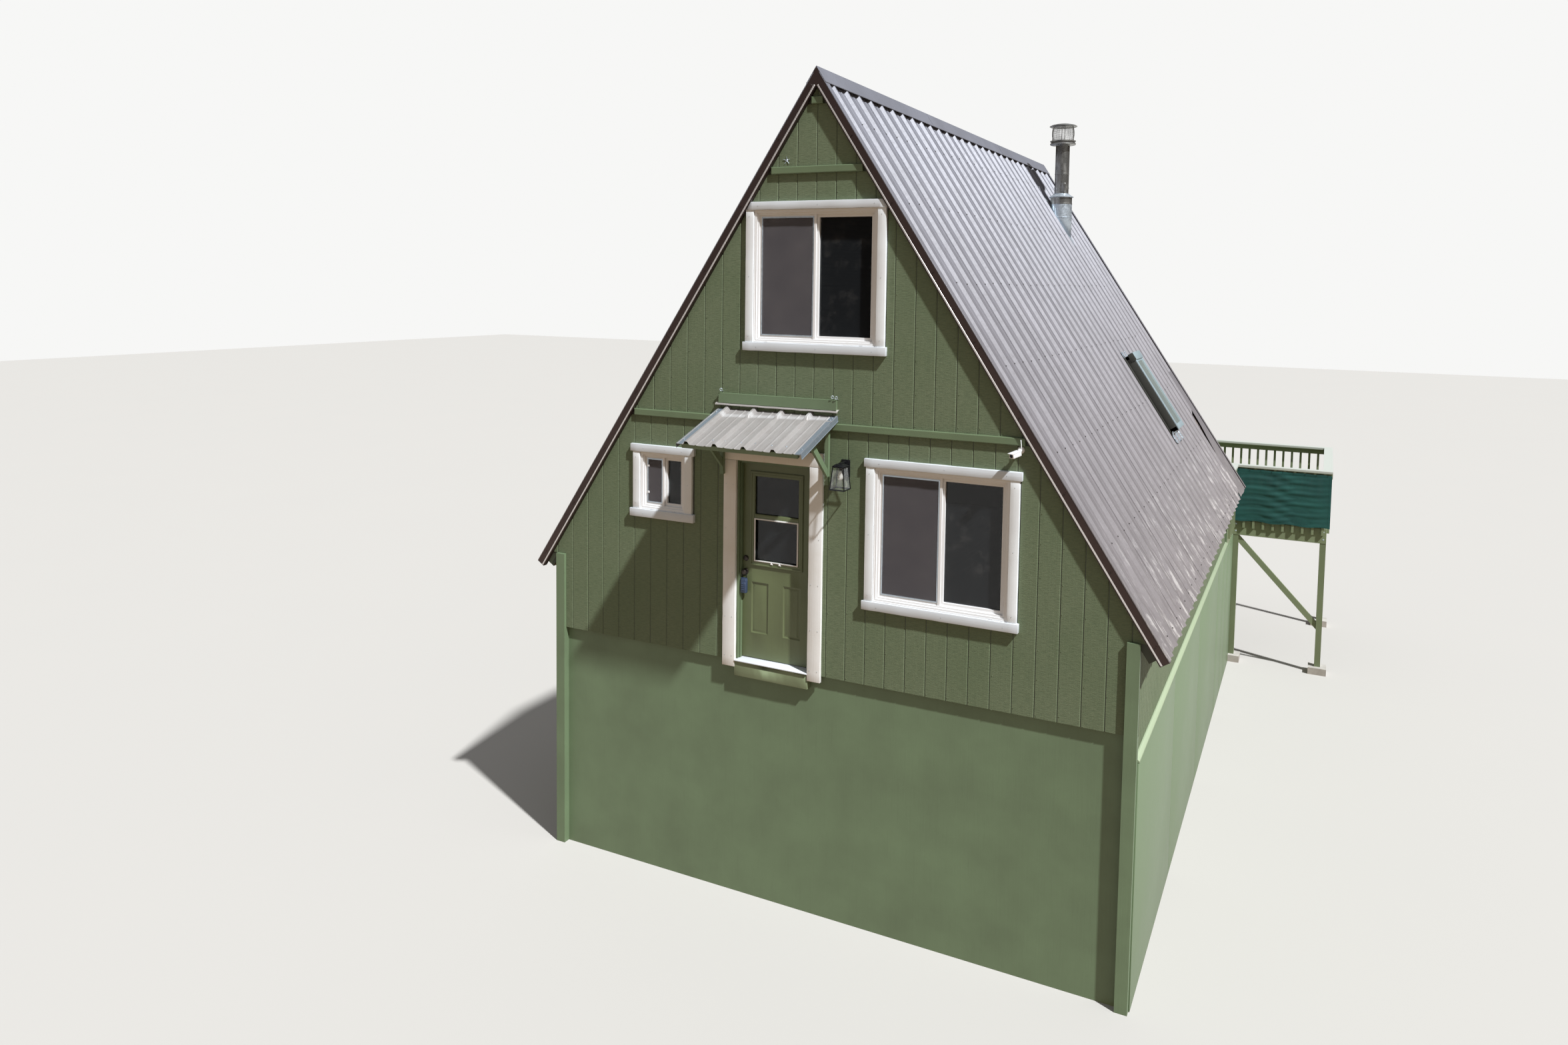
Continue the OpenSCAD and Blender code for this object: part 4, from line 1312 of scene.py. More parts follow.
window_board_level = painted_board(
    "white_rough_level", "window_white", (0.62, 0.66, 0.70), (0.50, 0.51, 0.52), 0, 0.6
)
insect_screen = Finish("insect_screen", "pane", Roughness=0.8)
weave = insect_screen.noise(420.0, (1, 1, 1), 1.0)
screen_dust = insect_screen.noise(3.5)
insect_screen.paint(
    Base_Color=insect_screen.blend(screen_dust, (0.07, 0.065, 0.075), (0.13, 0.12, 0.125)),
    Alpha=0.5 + weave * 0.3,
)
print("finishes:", len(bpy.data.materials))

# %% [markdown]
# ## The three windows
#
# All three are sliders: the left sash runs in front and has an insect screen, and the right
# pane is fixed. One function builds each of them round its opening, which is given by its place
# across the wall and over the main floor.

# %% Build the windows
BOARD = 0.086
PROUD = 0.038
LIP = 0.045
SCREEN_IN = 0.068
FRAME_STEPS = [(0.010, 0.004), (0.018, 0.016), (0.018, 0.012)]
SASH_STEPS = [(0.007, 0.003), (0.025, 0.010)]


def window(name, x0, x1, z0, z1, ear, clips):
    """Boards, stepped frame, two sashes, screen, weep covers and nails of one window."""
    z0, z1 = FLOOR_Z + z0, FLOOR_Z + z1
    centre = (x0 + x1) / 2
    face = FRONT_Y
    front, back = face - PROUD, face + 0.002
    sides = [
        rough_board("side", (x0 - BOARD, front, z0 - 0.002), (x0 - 0.001, back, z1 + 0.002), 0.0016, 3),
        rough_board("side", (x1 + 0.001, front, z0 - 0.002), (x1 + BOARD, back, z1 + 0.002), 0.0016, 7),
    ]
    sides = join(name + "_side_boards", sides)
    a, b = x0 - BOARD - ear, x1 + BOARD + ear
    head = rough_board("head", (a, front - 0.006, z1), (b, back, z1 + 0.078), 0.002, 11)
    sill = rough_board("sill", (a, front - 0.012, z0 - 0.084), (b, back, z0), 0.002, 13)
    if name == "upper_window":
        for side in (1, -1):
            across, height = roof_point(0.3, RAKE_DEPTH + 0.003, side)
            out = (side * math.sin(PITCH), 0, math.cos(PITCH))
            cut(head, (across, 0, height), out, clear_outer=True, fill=True)
    level = join(name + "_level_boards", [head, sill])
    low, high = z0 + LIP, z1 - LIP
    outer = stepped_frame("outer", (x0, face - 0.026, z0), (x1, 0.035, z1), FRAME_STEPS)
    left_box = (x0 + LIP, face + 0.008, low), (centre - 0.001, 0.016, high)
    left = stepped_frame("left", *left_box, SASH_STEPS)
    right_box = (centre - 0.001, face + 0.020, low), (x1 - LIP, 0.026, high)
    right = stepped_frame("right", *right_box, SASH_STEPS)
    interlock_box = (centre - 0.014, face + 0.001, low), (centre + 0.010, face + 0.02, high)
    interlock = add_box("interlock", *interlock_box)
    covers = []
    for x in (x0 + 0.13, x1 - 0.16):
        weep = (x, face - 0.0285, z0 + 0.004), (x + 0.034, face - 0.024, z0 + 0.011)
        covers.append(add_box("cover", *weep))
    for z in clips:
        z = FLOOR_Z + z
        clip = (x0 + 0.07, face + 0.002, z), (x0 + 0.095, face + 0.012, z + 0.022)
        covers.append(eased_box("clip", *clip, 0.002))
    vinyl_parts = [soften(part, 0.0012, 1) for part in (outer, left, right, interlock)]
    frame_piece = join(name + "_frame", vinyl_parts + covers)
    low, high = z0 + SCREEN_IN, z1 - SCREEN_IN
    screen_box = (x0 + SCREEN_IN, face + 0.006, low), (centre - 0.016, face + 0.012, high)
    rim = stepped_frame("rim", *screen_box, [(0.012, 0.001)])
    mesh = add_box(
        name + "_screen",
        (x0 + SCREEN_IN + 0.011, face + 0.0085, low + 0.011),
        (centre - 0.027, face + 0.0095, high - 0.011),
    )
    nails = []
    for z in (z0 + 0.06, (z0 + z1) / 2, z1 - 0.06):
        nails += [(x0 - BOARD * 0.55, front - 0.0008, z), (x1 + BOARD * 0.5, front - 0.0008, z)]
    for x in (x0 + 0.05, centre + 0.04, x1 - 0.03):
        nails += [(x, front - 0.0065, z1 + 0.04), (x, front - 0.0125, z0 - 0.045)]
    hand_over(frame_piece, vinyl, [name])
    hand_over(sides, window_board)
    hand_over(level, window_board_level)
    hand_over(join(name + "_screen_rim", [rim]), zinc)
    hand_over(mesh, insect_screen)
    hand_over(nail_heads(name + "_nails", nails, 0.003), zinc)


window("small_window", -1.985, -1.435, 1.435, 2.038, 0.030, (1.60, 1.88))
window("large_window", 0.654, 1.940, 0.828, 2.105, 0.020, ())
window("upper_window", -0.658, 0.638, 3.232, 4.518, 0.020, ())

# %% [markdown]
# ## Nails in the siding
#
# The panels are nailed beside their grooves, every foot or so. One head is made, and copies of
# it go up each groove, except where a window, the door or a board covers the wall.

# %% Nail the front siding
NAIL_PITCH = 0.305
COVERED = [
    (-2.10, -1.32, 1.33, 2.14),
    (0.54, 2.06, 0.72, 2.21),
    (-0.78, 0.76, 3.13, 4.62),
    (-1.0, 0.16, -0.2, 2.20),
    (-1.10, 0.30, 1.88, 2.75),
]


def siding_nails():
    """Nails up each groove of both bands, at uneven heights."""
    random.seed(17)
    places = []
    bands = ((LOWER_PHASE, range(1, 29), 0.03, 2.41), (UPPER_PHASE, range(-9, 10), 2.52, 5.4))
    for phase, columns, bottom, top in bands:
        for n in columns:
            x = phase + GROOVE_PITCH * n + 0.019
            z = bottom
            while z < top:
                spot_x, spot_z = x + random.uniform(-0.004, 0.004), z + random.uniform(-0.03, 0.03)
                free = all(not (a < spot_x < b and c < spot_z < d) for a, b, c, d in COVERED)
                off_belt = min(abs(spot_z - level - BELT_DEPTH / 2) for level in BELT_LEVELS) > 0.05
                under_roof = FLOOR_Z + spot_z < roof_height(spot_x, UNDER_DEPTH) - 0.03
                if free and off_belt and under_roof:
                    places.append((spot_x, FRONT_Y - 0.0058, FLOOR_Z + spot_z))
                z += NAIL_PITCH
    return nail_heads("siding_nails", places, 0.0042)


hand_over(siding_nails(), siding_paint)

# %% [markdown]
# ## The front door
#
# The slab is cut along the lines of its glazing and its two panels. The glazing is bridged
# through, and each panel is inset four times: a lip, a groove, a flat and a raised field. All
# of it rides on the hinged body. The latch is on the left, and a lock box hangs on the knob.

# %% Cut the slab and fit its glazing frame
SLAB_LOW = Vector((-0.8035, 0.014, FLOOR_Z + 0.028))
SLAB_HIGH = Vector((-0.0415, 0.058, FLOOR_Z + 2.028))
LITE_X = (-0.6655, -0.1795)
LITES_Z = ((FLOOR_Z + 1.030, FLOOR_Z + 1.455), (FLOOR_Z + 1.503, FLOOR_Z + 1.893))
PANELS_X = ((-0.7065, -0.4965), (-0.3485, -0.1385))
PANEL_Z = (FLOOR_Z + 0.276, FLOOR_Z + 0.817)
PANEL_STEPS = [(0.008, 0.003), (0.012, -0.010), (0.010, 0), (0.018, 0.006)]
MOULDING = [(0.006, -0.003), (0.012, 0.006), (0.008, -0.002), (0.018, 0.006), (0.008, 0.004)]


def within(face, xs, zs):
    spot = middle(face)
    return xs[0] < spot.x < xs[1] and zs[0] < spot.z < zs[1] and abs(face.normal.y) > 0.9


def door_slab():
    slab = add_box("door_leaf", SLAB_LOW, SLAB_HIGH)
    for x in LITE_X + PANELS_X[0] + PANELS_X[1]:
        cut(slab, (x, 0, 0), (1, 0, 0))
    for z in LITES_Z[0] + LITES_Z[1] + PANEL_Z:
        cut(slab, (0, 0, z), (0, 0, 1))
    for zs in LITES_Z:
        select_by(slab, lambda face: within(face, LITE_X, zs))
        bpy.ops.mesh.bridge_edge_loops()
        leave()
    for xs in PANELS_X:
        for outward in (-1, 1):
            select_by(slab, lambda face: within(face, xs, PANEL_Z) and face.normal.y * outward > 0)
            for width, rise in PANEL_STEPS:
                bpy.ops.mesh.inset(thickness=width, depth=rise)
            leave()
    parts = [soften(slab, 0.0012, 1)]
    for y0, y1, back in ((0.004, 0.030, 1), (0.042, 0.068, -1)):
        ring_low = (SLAB_LOW.x + 0.086, y0, FLOOR_Z + 0.976)
        ring_high = (SLAB_HIGH.x - 0.086, y1, FLOOR_Z + 1.937)
        parts.append(soften(stepped_frame("lite_frame", ring_low, ring_high, MOULDING, back), 0.001, 1))
        bar = (LITE_X[0], y0 + 0.005, LITES_Z[0][1]), (LITE_X[1], y1 - 0.005, LITES_Z[1][0])
        parts.append(eased_box("lite_bar", *bar, 0.004, 2))
    return join("door_leaf", parts)


def light_screen():
    """The pale frame round the lower light, with two small catches under it."""
    low = (LITE_X[0] - 0.003, 0.001, LITES_Z[0][0] - 0.008)
    high = (LITE_X[1] + 0.003, 0.010, LITES_Z[0][1] + 0.006)
    rim = soften(stepped_frame("rim", low, high, [(0.004, -0.002), (0.009, 0.005)]), 0.001, 1)
    catches = []
    z = low[2] - 0.006
    for x in (-0.470, -0.380):
        catch = add_rod("catch", (x, 0.006, z), (x, -0.004, z), 0.022, 3, 0.014)
        catches.append(soften(catch, 0.002, 1))
    return join("light_screen_rim", [rim] + catches)


hand_over(door_slab(), door_paint, ["door_slab"], DOOR)
hand_over(light_screen(), vinyl, body=DOOR)
sweep = (SLAB_LOW.x + 0.002, 0.018, FLOOR_Z + 0.0225), (SLAB_HIGH.x - 0.002, 0.054, FLOOR_Z + 0.0285)
hand_over(eased_box("door_sweep", *sweep, 0.002), lantern_black, body=DOOR)

# %% [markdown]
# ## Lock, knob and hinges
#
# Round hardware is built from stacked rods, each a few millimetres thick, so that its outline
# swells and narrows like a turned part.

# %% Turn the hardware
LATCH_X = SLAB_LOW.x + 0.040
KNOB_Z = FLOOR_Z + 0.905
BOLT_Z = FLOOR_Z + 1.040
HINGES_Z = [FLOOR_Z + z for z in (0.200, 1.000, 1.800)]
HINGE_H = 0.09
OUTWARD, INWARD = Vector((0, -1, 0)), Vector((0, 1, 0))


def turned(name, centre, way, profile, sides=28, sharp=35):
    """Stacks short rods along an axis. The profile lists distances from the centre and radii."""
    parts = []
    for (d0, r0), (d1, r1) in zip(profile, profile[1:]):
        parts.append(add_rod(name, Vector(centre) + way * d0, Vector(centre) + way * d1, r0, sides, r1))
    return smooth(join(name, parts), sharp)


KNOB = [(0, 0.031), (0.004, 0.031), (0.009, 0.026), (0.014, 0.012), (0.030, 0.011)]
KNOB += [(0.036, 0.020), (0.043, 0.0265), (0.051, 0.0265), (0.056, 0.021), (0.058, 0.012)]
BOLT = [(0, 0.0295), (0.006, 0.0295), (0.013, 0.024), (0.0165, 0.0225), (0.018, 0.015)]


def latch_set():
    """Knob and bolt on both faces, with a keyway outside and a thumb turn inside."""
    parts = []
    for y, way in ((SLAB_LOW.y, OUTWARD), (SLAB_HIGH.y, INWARD)):
        parts.append(turned("knob", (LATCH_X, y, KNOB_Z), way, KNOB))
        parts.append(turned("bolt", (LATCH_X, y, BOLT_Z), way, BOLT))
    for z in (KNOB_Z, BOLT_Z):
        plate = (SLAB_LOW.x - 0.001, 0.024, z - 0.028), (SLAB_LOW.x + 0.002, 0.048, z + 0.028)
        parts.append(eased_box("plate", *plate, 0.0006))
    keyway = (LATCH_X - 0.0015, -0.0055, BOLT_Z - 0.007), (LATCH_X + 0.0015, 0.0, BOLT_Z + 0.007)
    parts.append(add_box("keyway", *keyway))
    thumb = (LATCH_X - 0.016, 0.075, BOLT_Z - 0.004), (LATCH_X + 0.016, 0.090, BOLT_Z + 0.004)
    parts.append(eased_box("thumb_turn", *thumb, 0.003, 2))
    return join("latch_set", parts)


def door_hinges():
    """Three butt hinges of five knuckles, with tips, leaves and screws."""
    parts = []
    edge, back = SLAB_HIGH.x, SLAB_HIGH.y
    pin_x, pin_y = edge + 0.0025, back + 0.013
    for z in HINGES_Z:
        for n in range(5):
            base = z + n * 0.018
            knuckle = (pin_x, pin_y, base + 0.0006), (pin_x, pin_y, base + 0.0174)
            parts.append(soften(add_rod("knuckle", *knuckle, 0.006, 16), 0.0008, 1))
        for end in (z - 0.004, z + HINGE_H):
            tip = (pin_x, pin_y, end), (pin_x, pin_y, end + 0.004)
            parts.append(add_rod("tip", *tip, 0.0045, 12, 0.003))
        top = z + HINGE_H
        parts.append(eased_box("leaf", (edge - 0.045, back, z), (edge, back + 0.003, top), 0.001))
        parts.append(eased_box("strap", (edge - 0.004, back, z), (edge, pin_y, top), 0.001))
        for inward, dz in ((0.032, 0.015), (0.018, 0.045), (0.032, 0.075)):
            spot = (edge - inward, back + 0.0025, z + dz)
            parts.append(nail_heads("screw", [spot], 0.0045, INWARD))
    return join("door_hinges", parts)


def lock_box():
    """A key safe: a rounded body with a face plate, four dials and a lid."""
    x0, x1 = LATCH_X - 0.033, LATCH_X + 0.033
    y0, y1 = -0.046, -0.004
    z = FLOOR_Z + 0.692
    face = (x0 + 0.009, y0 - 0.003, z + 0.023), (x1 - 0.009, y0 + 0.002, z + 0.108)
    parts = [eased_box("body", (x0, y0, z), (x1, y1, z + 0.144), 0.009, 3)]
    parts.append(eased_box("face", *face, 0.002))
    for n in range(4):
        dial_z = z + 0.036 + n * 0.019
        ends = (x0 + 0.020, y0 - 0.002, dial_z), (x1 - 0.020, y0 - 0.002, dial_z)
        parts.append(add_rod("dial", *ends, 0.0065, 20))
    lid = (x0 + 0.003, y0 + 0.004, z + 0.138), (x1 - 0.003, y1 - 0.004, z + 0.154)
    return join("lock_box", parts + [eased_box("lid", *lid, 0.004, 2)])


def add_ring(name, centre, turn, radius, thickness, divisions):
    """A ring of round bar, divided along and across."""
    deselect()
    bpy.ops.mesh.primitive_torus_add(
        location=centre,
        rotation=turn,
        major_segments=divisions[0],
        minor_segments=divisions[1],
        major_radius=radius,
        minor_radius=thickness,
    )
    return settle(name)


def shackle():
    """Half a ring on two straight legs, hung over the knob."""
    centre = Vector((LATCH_X, -0.024, KNOB_Z - 0.005))
    bow = add_ring("bow", centre, (math.pi / 2, 0, 0), 0.024, 0.0045, (32, 10))
    cut(bow, centre, (0, 0, 1), clear_inner=True, fill=True)
    parts = [bow]
    for side in (-1, 1):
        top = centre + Vector((side * 0.024, 0, 0))
        parts.append(add_rod("leg", top - Vector((0, 0, 0.066)), top, 0.0045, 10))
    return smooth(join("lock_box_shackle", parts), 50)


key_safe_blue = plain_metal(
    "key_safe_blue", "hardware_dark", (0.035, 0.055, 0.105), (0.10, 0.12, 0.16), 0.1, 0.45
)
hand_over(latch_set(), dark_bronze, ["door_hardware"], DOOR)
hand_over(door_hinges(), dark_bronze, body=DOOR)
hand_over(lock_box(), key_safe_blue, body=DOOR)
hand_over(shackle(), lantern_black, body=DOOR)

# %% [markdown]
# ## Doorway and casing
#
# The jambs and stops are plain boards with eased edges. The white boards round them stand in
# the awning's shade, and the board under the threshold has lost chips of paint along its top.

# %% Build the doorway
DOORWAY = (-0.829, -0.016)
HEAD_Z = FLOOR_Z + 2.048
JAMB = 0.0205
STOP = 0.012


def doorway():
    """Jambs with their stops, and the head with its stop."""
    x0, x1 = DOORWAY
    foot, under = FLOOR_Z + 0.02, FLOOR_Z + 2.033
    a, b = x0 + JAMB, x1 - JAMB
    c, d = a + STOP, b - STOP
    boxes = [
        ((x0, FRONT_Y, foot), (a, 0.06, HEAD_Z)),
        ((b, FRONT_Y, foot), (x1, 0.06, HEAD_Z)),
        ((a, FRONT_Y, under), (b, 0.06, HEAD_Z)),
        ((a, -0.03, foot), (c, 0.009, under)),
        ((d, -0.03, foot), (b, 0.009, under)),
        ((c, -0.03, FLOOR_Z + 2.016), (d, 0.009, under)),
    ]
    return join("doorway_boards", [eased_box("jamb", low, high, 0.002) for low, high in boxes])


def threshold():
    """A sloped sill with a worn nose and a raised strip under the slab."""
    x0, x1 = DOORWAY
    sill = add_box("sill", (x0, FRONT_Y - 0.045, FLOOR_Z), (x1, 0.06, FLOOR_Z + 0.020))
    cut(sill, (0, 0.0, FLOOR_Z + 0.020), (0, 1, 0))

    def is_nose(edge):
        return middle(edge).y < FRONT_Y - 0.04 and middle(edge).z > FLOOR_Z + 0.019

    shift_part(sill, is_nose, (0, 0, -0.008), "EDGE")
    low, high = (x0 + 0.021, 0.020, FLOOR_Z + 0.0195), (x1 - 0.021, 0.052, FLOOR_Z + 0.0222)
    strip = add_box("strip", low, high)
    return join("threshold", [soften(sill, 0.004, 2), strip])


def riser():
    """The board under the threshold, with chips broken out of its top edge."""
    low = (DOORWAY[0] - 0.004, FRONT_Y - 0.03, FLOOR_Z - 0.15)
    high = (DOORWAY[1] + 0.004, -0.02, FLOOR_Z - 0.002)
    board = rough_board("riser", low, high, 0.002, 4)
    random.seed(8)
    for vertex in board.data.vertices:
        if vertex.co.z > FLOOR_Z - 0.01 and vertex.co.y < FRONT_Y:
            vertex.co.z -= random.choice((0, 0, 0.004, 0.009))
    return board


def casing_boards():
    x0, x1 = DOORWAY
    a, b = x0 - 0.140, x1 + 0.140
    y0, y1 = FRONT_Y - PROUD, FRONT_Y + 0.001
    foot = FLOOR_Z - 0.06
    left = rough_board("left", (a, y0, foot), (x0, y1, HEAD_Z - 0.001), 0.0018, 21)
    right = rough_board("right", (x1, y0, foot), (b, y1, HEAD_Z - 0.001), 0.0018, 23)
    head = rough_board("head", (a, y0, HEAD_Z + 0.001), (b, y1, HEAD_Z + 0.14), 0.0018, 25)
    return join("casing_boards", [left, right, head])


NAILS_X = (DOORWAY[0] - 0.11, DOORWAY[0] - 0.03, DOORWAY[1] + 0.03, DOORWAY[1] + 0.11)
NAILS_Z = [FLOOR_Z + z for z in (0.05, 0.45, 0.9, 1.35, 1.8, 2.12)]
casing_nails = [(x, FRONT_Y - PROUD - 0.001, z) for x in NAILS_X for z in NAILS_Z]
hand_over(doorway(), belt_paint, ["door_frame"])
hand_over(threshold(), window_board_level)
hand_over(riser(), deck_paint)
hand_over(casing_boards(), white_paint, ["door_casing"])
hand_over(nail_heads("casing_nails", casing_nails, 0.0036), zinc)

# %% [markdown]
# ## The awning
#
# The little roof over the door is one ribbed sheet with bent zinc down both sides. Something
# heavy once lay on it, so it has a crease across its upper third. The flashings start as a
# narrow strip whose free edge is extruded from fold to fold, and Solidify gives the metal.

# %% Fold the awning's sheet and flashings
AWNING_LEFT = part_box("awning_roofing")[0].x
AWNING_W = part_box("awning_roofing")[1].x - AWNING_LEFT
AWNING_TOP = FLOOR_Z + 2.55
AWNING_REACH = 0.790
AWNING_TILT = math.atan2(0.262, AWNING_REACH)
AWNING_L = AWNING_REACH / math.cos(AWNING_TILT)
TILT_C, TILT_S = math.cos(AWNING_TILT), math.sin(AWNING_TILT)
AWNING_TURN = Matrix(
    (
        (0, 1, 0, AWNING_LEFT),
        (-TILT_C, 0, -TILT_S, FRONT_Y - 0.006),
        (-TILT_S, 0, TILT_C, AWNING_TOP),
        (0, 0, 0, 1),
    )
)


def folded(name, profile, length, metal=METAL):
    """A strip along X, bent through the points (y, z) of its profile."""
    deselect()
    bpy.ops.mesh.primitive_plane_add(size=1)
    bpy.ops.transform.resize(value=(length, 1, 1))
    bpy.ops.transform.translate(value=(length / 2, -10, 0))
    strip = settle(name)
    (first_y, first_z), (next_y, next_z) = profile[:2]
    shift_part(strip, lambda e: middle(e).y > -9.6, (0, next_y + 9.5, next_z), "EDGE")
    shift_part(strip, lambda e: middle(e).y < -10.4, (0, first_y + 10.5, first_z), "EDGE")
    free_edge = Vector((length / 2, next_y, next_z))
    select_by(strip, lambda e: (middle(e) - free_edge).length < 0.0005, "EDGE")
    for (y0, z0), (y1, z1) in zip(profile[1:], profile[2:]):
        bpy.ops.mesh.extrude_region_move(TRANSFORM_OT_translate={"value": (0, y1 - y0, z1 - z0)})
    leave()
    modify(strip, "SOLIDIFY", thickness=metal, offset=0)
    return face_out(strip)


CREASE = (0.185, 0.225, 0.31)
CREASE_SLANT = 0.11


def awning_sheet():
    """The ribbed sheet, pressed down and buckled where something lay on it."""
    sheet = ribbed_sheet(AWNING_L - 0.001, 0.114, AWNING_W)
    for s in CREASE:
        cut(sheet, (s, 0, 0), (1, 0, 0))
    for y in (0.3, 0.6, 0.9, 1.2):
        cut(sheet, (0, y, 0), (0, 1, 0))
    for vertex in sheet.data.vertices:
        s, y = vertex.co.x, vertex.co.y
        if CREASE[0] - 0.01 < s < CREASE[-1] + 0.01:
            vertex.co.x -= CREASE_SLANT * y / AWNING_W
        if abs(s - CREASE[1]) < 0.001 and y > 0.25:
            vertex.co.z *= 0.35
            vertex.co.z += 0.0030 + 0.001 * math.sin(11 * y)
        if s > AWNING_L - 0.01:
            vertex.co.z += 0.002 * math.sin(17 * y)
    modify(sheet, "SOLIDIFY", thickness=METAL, offset=1.0)
    sheet.name = "awning_sheet"
    return place(sheet, AWNING_TURN @ Matrix.Translation((0, 0, 0.0015)))


def awning_flashings():
    """Bent zinc on both sides, with a hemmed drip at its foot."""
    length = AWNING_L - 0.002
    profile = [(0.064, 0.0055), (0.0, 0.0065), (-0.002, -0.036), (-0.006, -0.041)]
    left = folded("flashing", profile, length)
    right = folded("flashing", [(AWNING_W - y, z) for y, z in profile], length)
    parts = [place(piece, AWNING_TURN) for piece in (left, right)]
    return join("awning_flashings", parts)


def wall_flashing():
    """The strip over the sheet's upper edge, a little wavy along its lower lip."""
    width = AWNING_W + 0.032
    profile = [(0.0, 0.068), (-0.012, 0.066), (-0.045, 0.052), (-0.0465, 0.041)]
    strip = folded("wall_flashing", profile, width, 0.002)
    for n in range(1, 14):
        cut(strip, (width * n / 14, 0, 0), (1, 0, 0))
    for vertex in strip.data.vertices:
        if vertex.co.z < 0.054:
            vertex.co.z += 0.0013 * math.sin(31 * vertex.co.x) + 0.0008 * math.sin(83 * vertex.co.x)
    return place(strip, Matrix.Translation((AWNING_LEFT - 0.020, FRONT_Y, AWNING_TOP)))


def awning_screws():
    spots = []
    for y in (0.06, 0.30, 0.43, 0.60, 0.75, 0.92, 1.07):
        spots.append((AWNING_L - 0.13 + 0.01 * math.sin(40 * y), y + 0.03, 0.002))
    for y in (0.03, 1.275):
        spots += [(s, y, 0.0075) for s in (0.05, 0.10, AWNING_L - 0.10)]
    matrices = [AWNING_TURN @ Matrix.Translation(spot) for spot in spots]
    return scatter(roof_screw(), "awning_screws", matrices)


def creased_steel():
    """Faded sheet, dirt washed down the pans, and a painted highlight as a pale band along the crease.
    """
    finish = Finish("awning_steel", "roof_metal", Metallic=0.2)
    cloud = finish.noise(2.2)
    dirt = finish.spot(finish.noise(14.0, (2.5, 0.5, 0.5), 5.0, 0.65), 0.46, 0.72)
    down = finish.axis(1) * (-1 / TILT_C) + finish.axis(0) * (CREASE_SLANT / AWNING_W)
    past = down - (CREASE[1] + 0.006 + CREASE_SLANT * AWNING_LEFT / AWNING_W)
    # Painted highlight: a pale band where the bent sheet catches the sun along the crease.
    fold = finish.spot(finish.maths("ABSOLUTE", past - 0.012), 0.05, 0.015)
    colours = finish.blend(finish.spot(cloud, 0.35, 0.7), (0.30, 0.285, 0.275), (0.35, 0.335, 0.325))
    colours = finish.blend(dirt * 0.5, colours, (0.22, 0.195, 0.18))
    colours = finish.blend(fold * 0.5, colours, (0.58, 0.58, 0.585))
    finish.paint(Base_Color=colours, Roughness=0.36 + dirt * 0.2)
    finish.relief(cloud + dirt * 0.1, 0.25, 0.003)
    return finish


slate_zinc = plain_metal("slate_zinc", "galvanized", (0.20, 0.235, 0.27), (0.42, 0.46, 0.5), 0.4, 0.42)
hand_over(awning_sheet(), creased_steel(), ["awning_roofing"])
hand_over(awning_flashings(), slate_zinc, ["awning_flashing"])
hand_over(wall_flashing(), bare_metal_and_painted_glint)
hand_over(awning_screws(), zinc)


def eye_hook(x, z):
    """A screw eye in the wall: a short shank and a ring."""
    centre = Vector((x, FRONT_Y - 0.045, z + 0.02))
    shank = add_rod("shank", (x, FRONT_Y - 0.002, z), centre - Vector((0, 0, 0.012)), 0.003, 8)
    ring = add_ring("ring", centre, (math.pi / 2, 0, 0.5), 0.012, 0.0028, (20, 8))
    return join("hook", [shank, ring])


HOOKS = ((-1.005, 0.175), (0.215, 0.170), (0.255, 0.165))
hooks = [eye_hook(x, AWNING_TOP + rise) for x, rise in HOOKS]
hand_over(join("eye_hooks", hooks), zinc)

# %% [markdown]
# ## The wall lantern
#
# Four leaning corner bars stand between a top and a bottom rim, with clear glass inside them
# and a bulb on its socket. One function gives the corners of the tapered cage at any height.

# %% Build the lantern
LANTERN = Vector((0.350, FRONT_Y - 0.135, 0))
LANTERN_LOW, LANTERN_HIGH = FLOOR_Z + 1.884, FLOOR_Z + 2.100
BULB_R = 0.029


def lantern_corner(step, height):
    """A corner of the lantern's tapered cage; step counts quarter turns."""
    share = (height - LANTERN_LOW) / (LANTERN_HIGH - LANTERN_LOW)
    reach = (0.074 - 0.020 * share) * math.sqrt(2)
    angle = math.radians(45 + 90 * step)
    return LANTERN + Vector((math.cos(angle) * reach, math.sin(angle) * reach, height))


def square_cone(name, low_radius, high_radius, depth, height):
    """A tapered box round the lantern's axis, with its middle at a height."""
    deselect()
    bpy.ops.mesh.primitive_cone_add(
        vertices=4,
        radius1=low_radius,
        radius2=high_radius,
        depth=depth,
        location=LANTERN + Vector((0, 0, height)),
        rotation=(0, 0, math.pi / 4),
    )
    return settle(name)


def cage():
    """Corner bars and rims, the cap and socket, and the arm on its wall plate."""
    parts = []
    for step in range(4):
        low, high = lantern_corner(step, LANTERN_LOW), lantern_corner(step, LANTERN_HIGH)
        parts.append(add_rod("bar", low, high, 0.0055, 4))
        for height, thick in ((LANTERN_LOW + 0.003, 0.007), (LANTERN_HIGH, 0.006)):
            ends = lantern_corner(step, height), lantern_corner(step + 1, height)
            parts.append(add_rod("rim", *ends, thick, 4))
    parts.append(soften(square_cone("cap", 0.092, 0.050, 0.022, LANTERN_HIGH + 0.016), 0.003, 2))
    socket_low = LANTERN + Vector((0, 0, LANTERN_HIGH - 0.035))
    parts.append(add_rod("socket", socket_low, socket_low + Vector((0, 0, 0.045)), 0.017, 16))
    plate = (0.305, FRONT_Y - 0.020, FLOOR_Z + 1.985), (0.395, FRONT_Y, FLOOR_Z + 2.150)
    parts.append(eased_box("plate", *plate, 0.006, 2))
    arm = (0.338, LANTERN.y - 0.012, FLOOR_Z + 2.120), (0.362, FRONT_Y - 0.010, FLOOR_Z + 2.138)
    parts.append(eased_box("arm", *arm, 0.005, 2))
    for z in (2.005, 2.135):
        parts.append(nail_heads("screw", [(LANTERN.x, FRONT_Y - 0.0195, FLOOR_Z + z)], 0.005))
    return join("lantern_cage", parts)


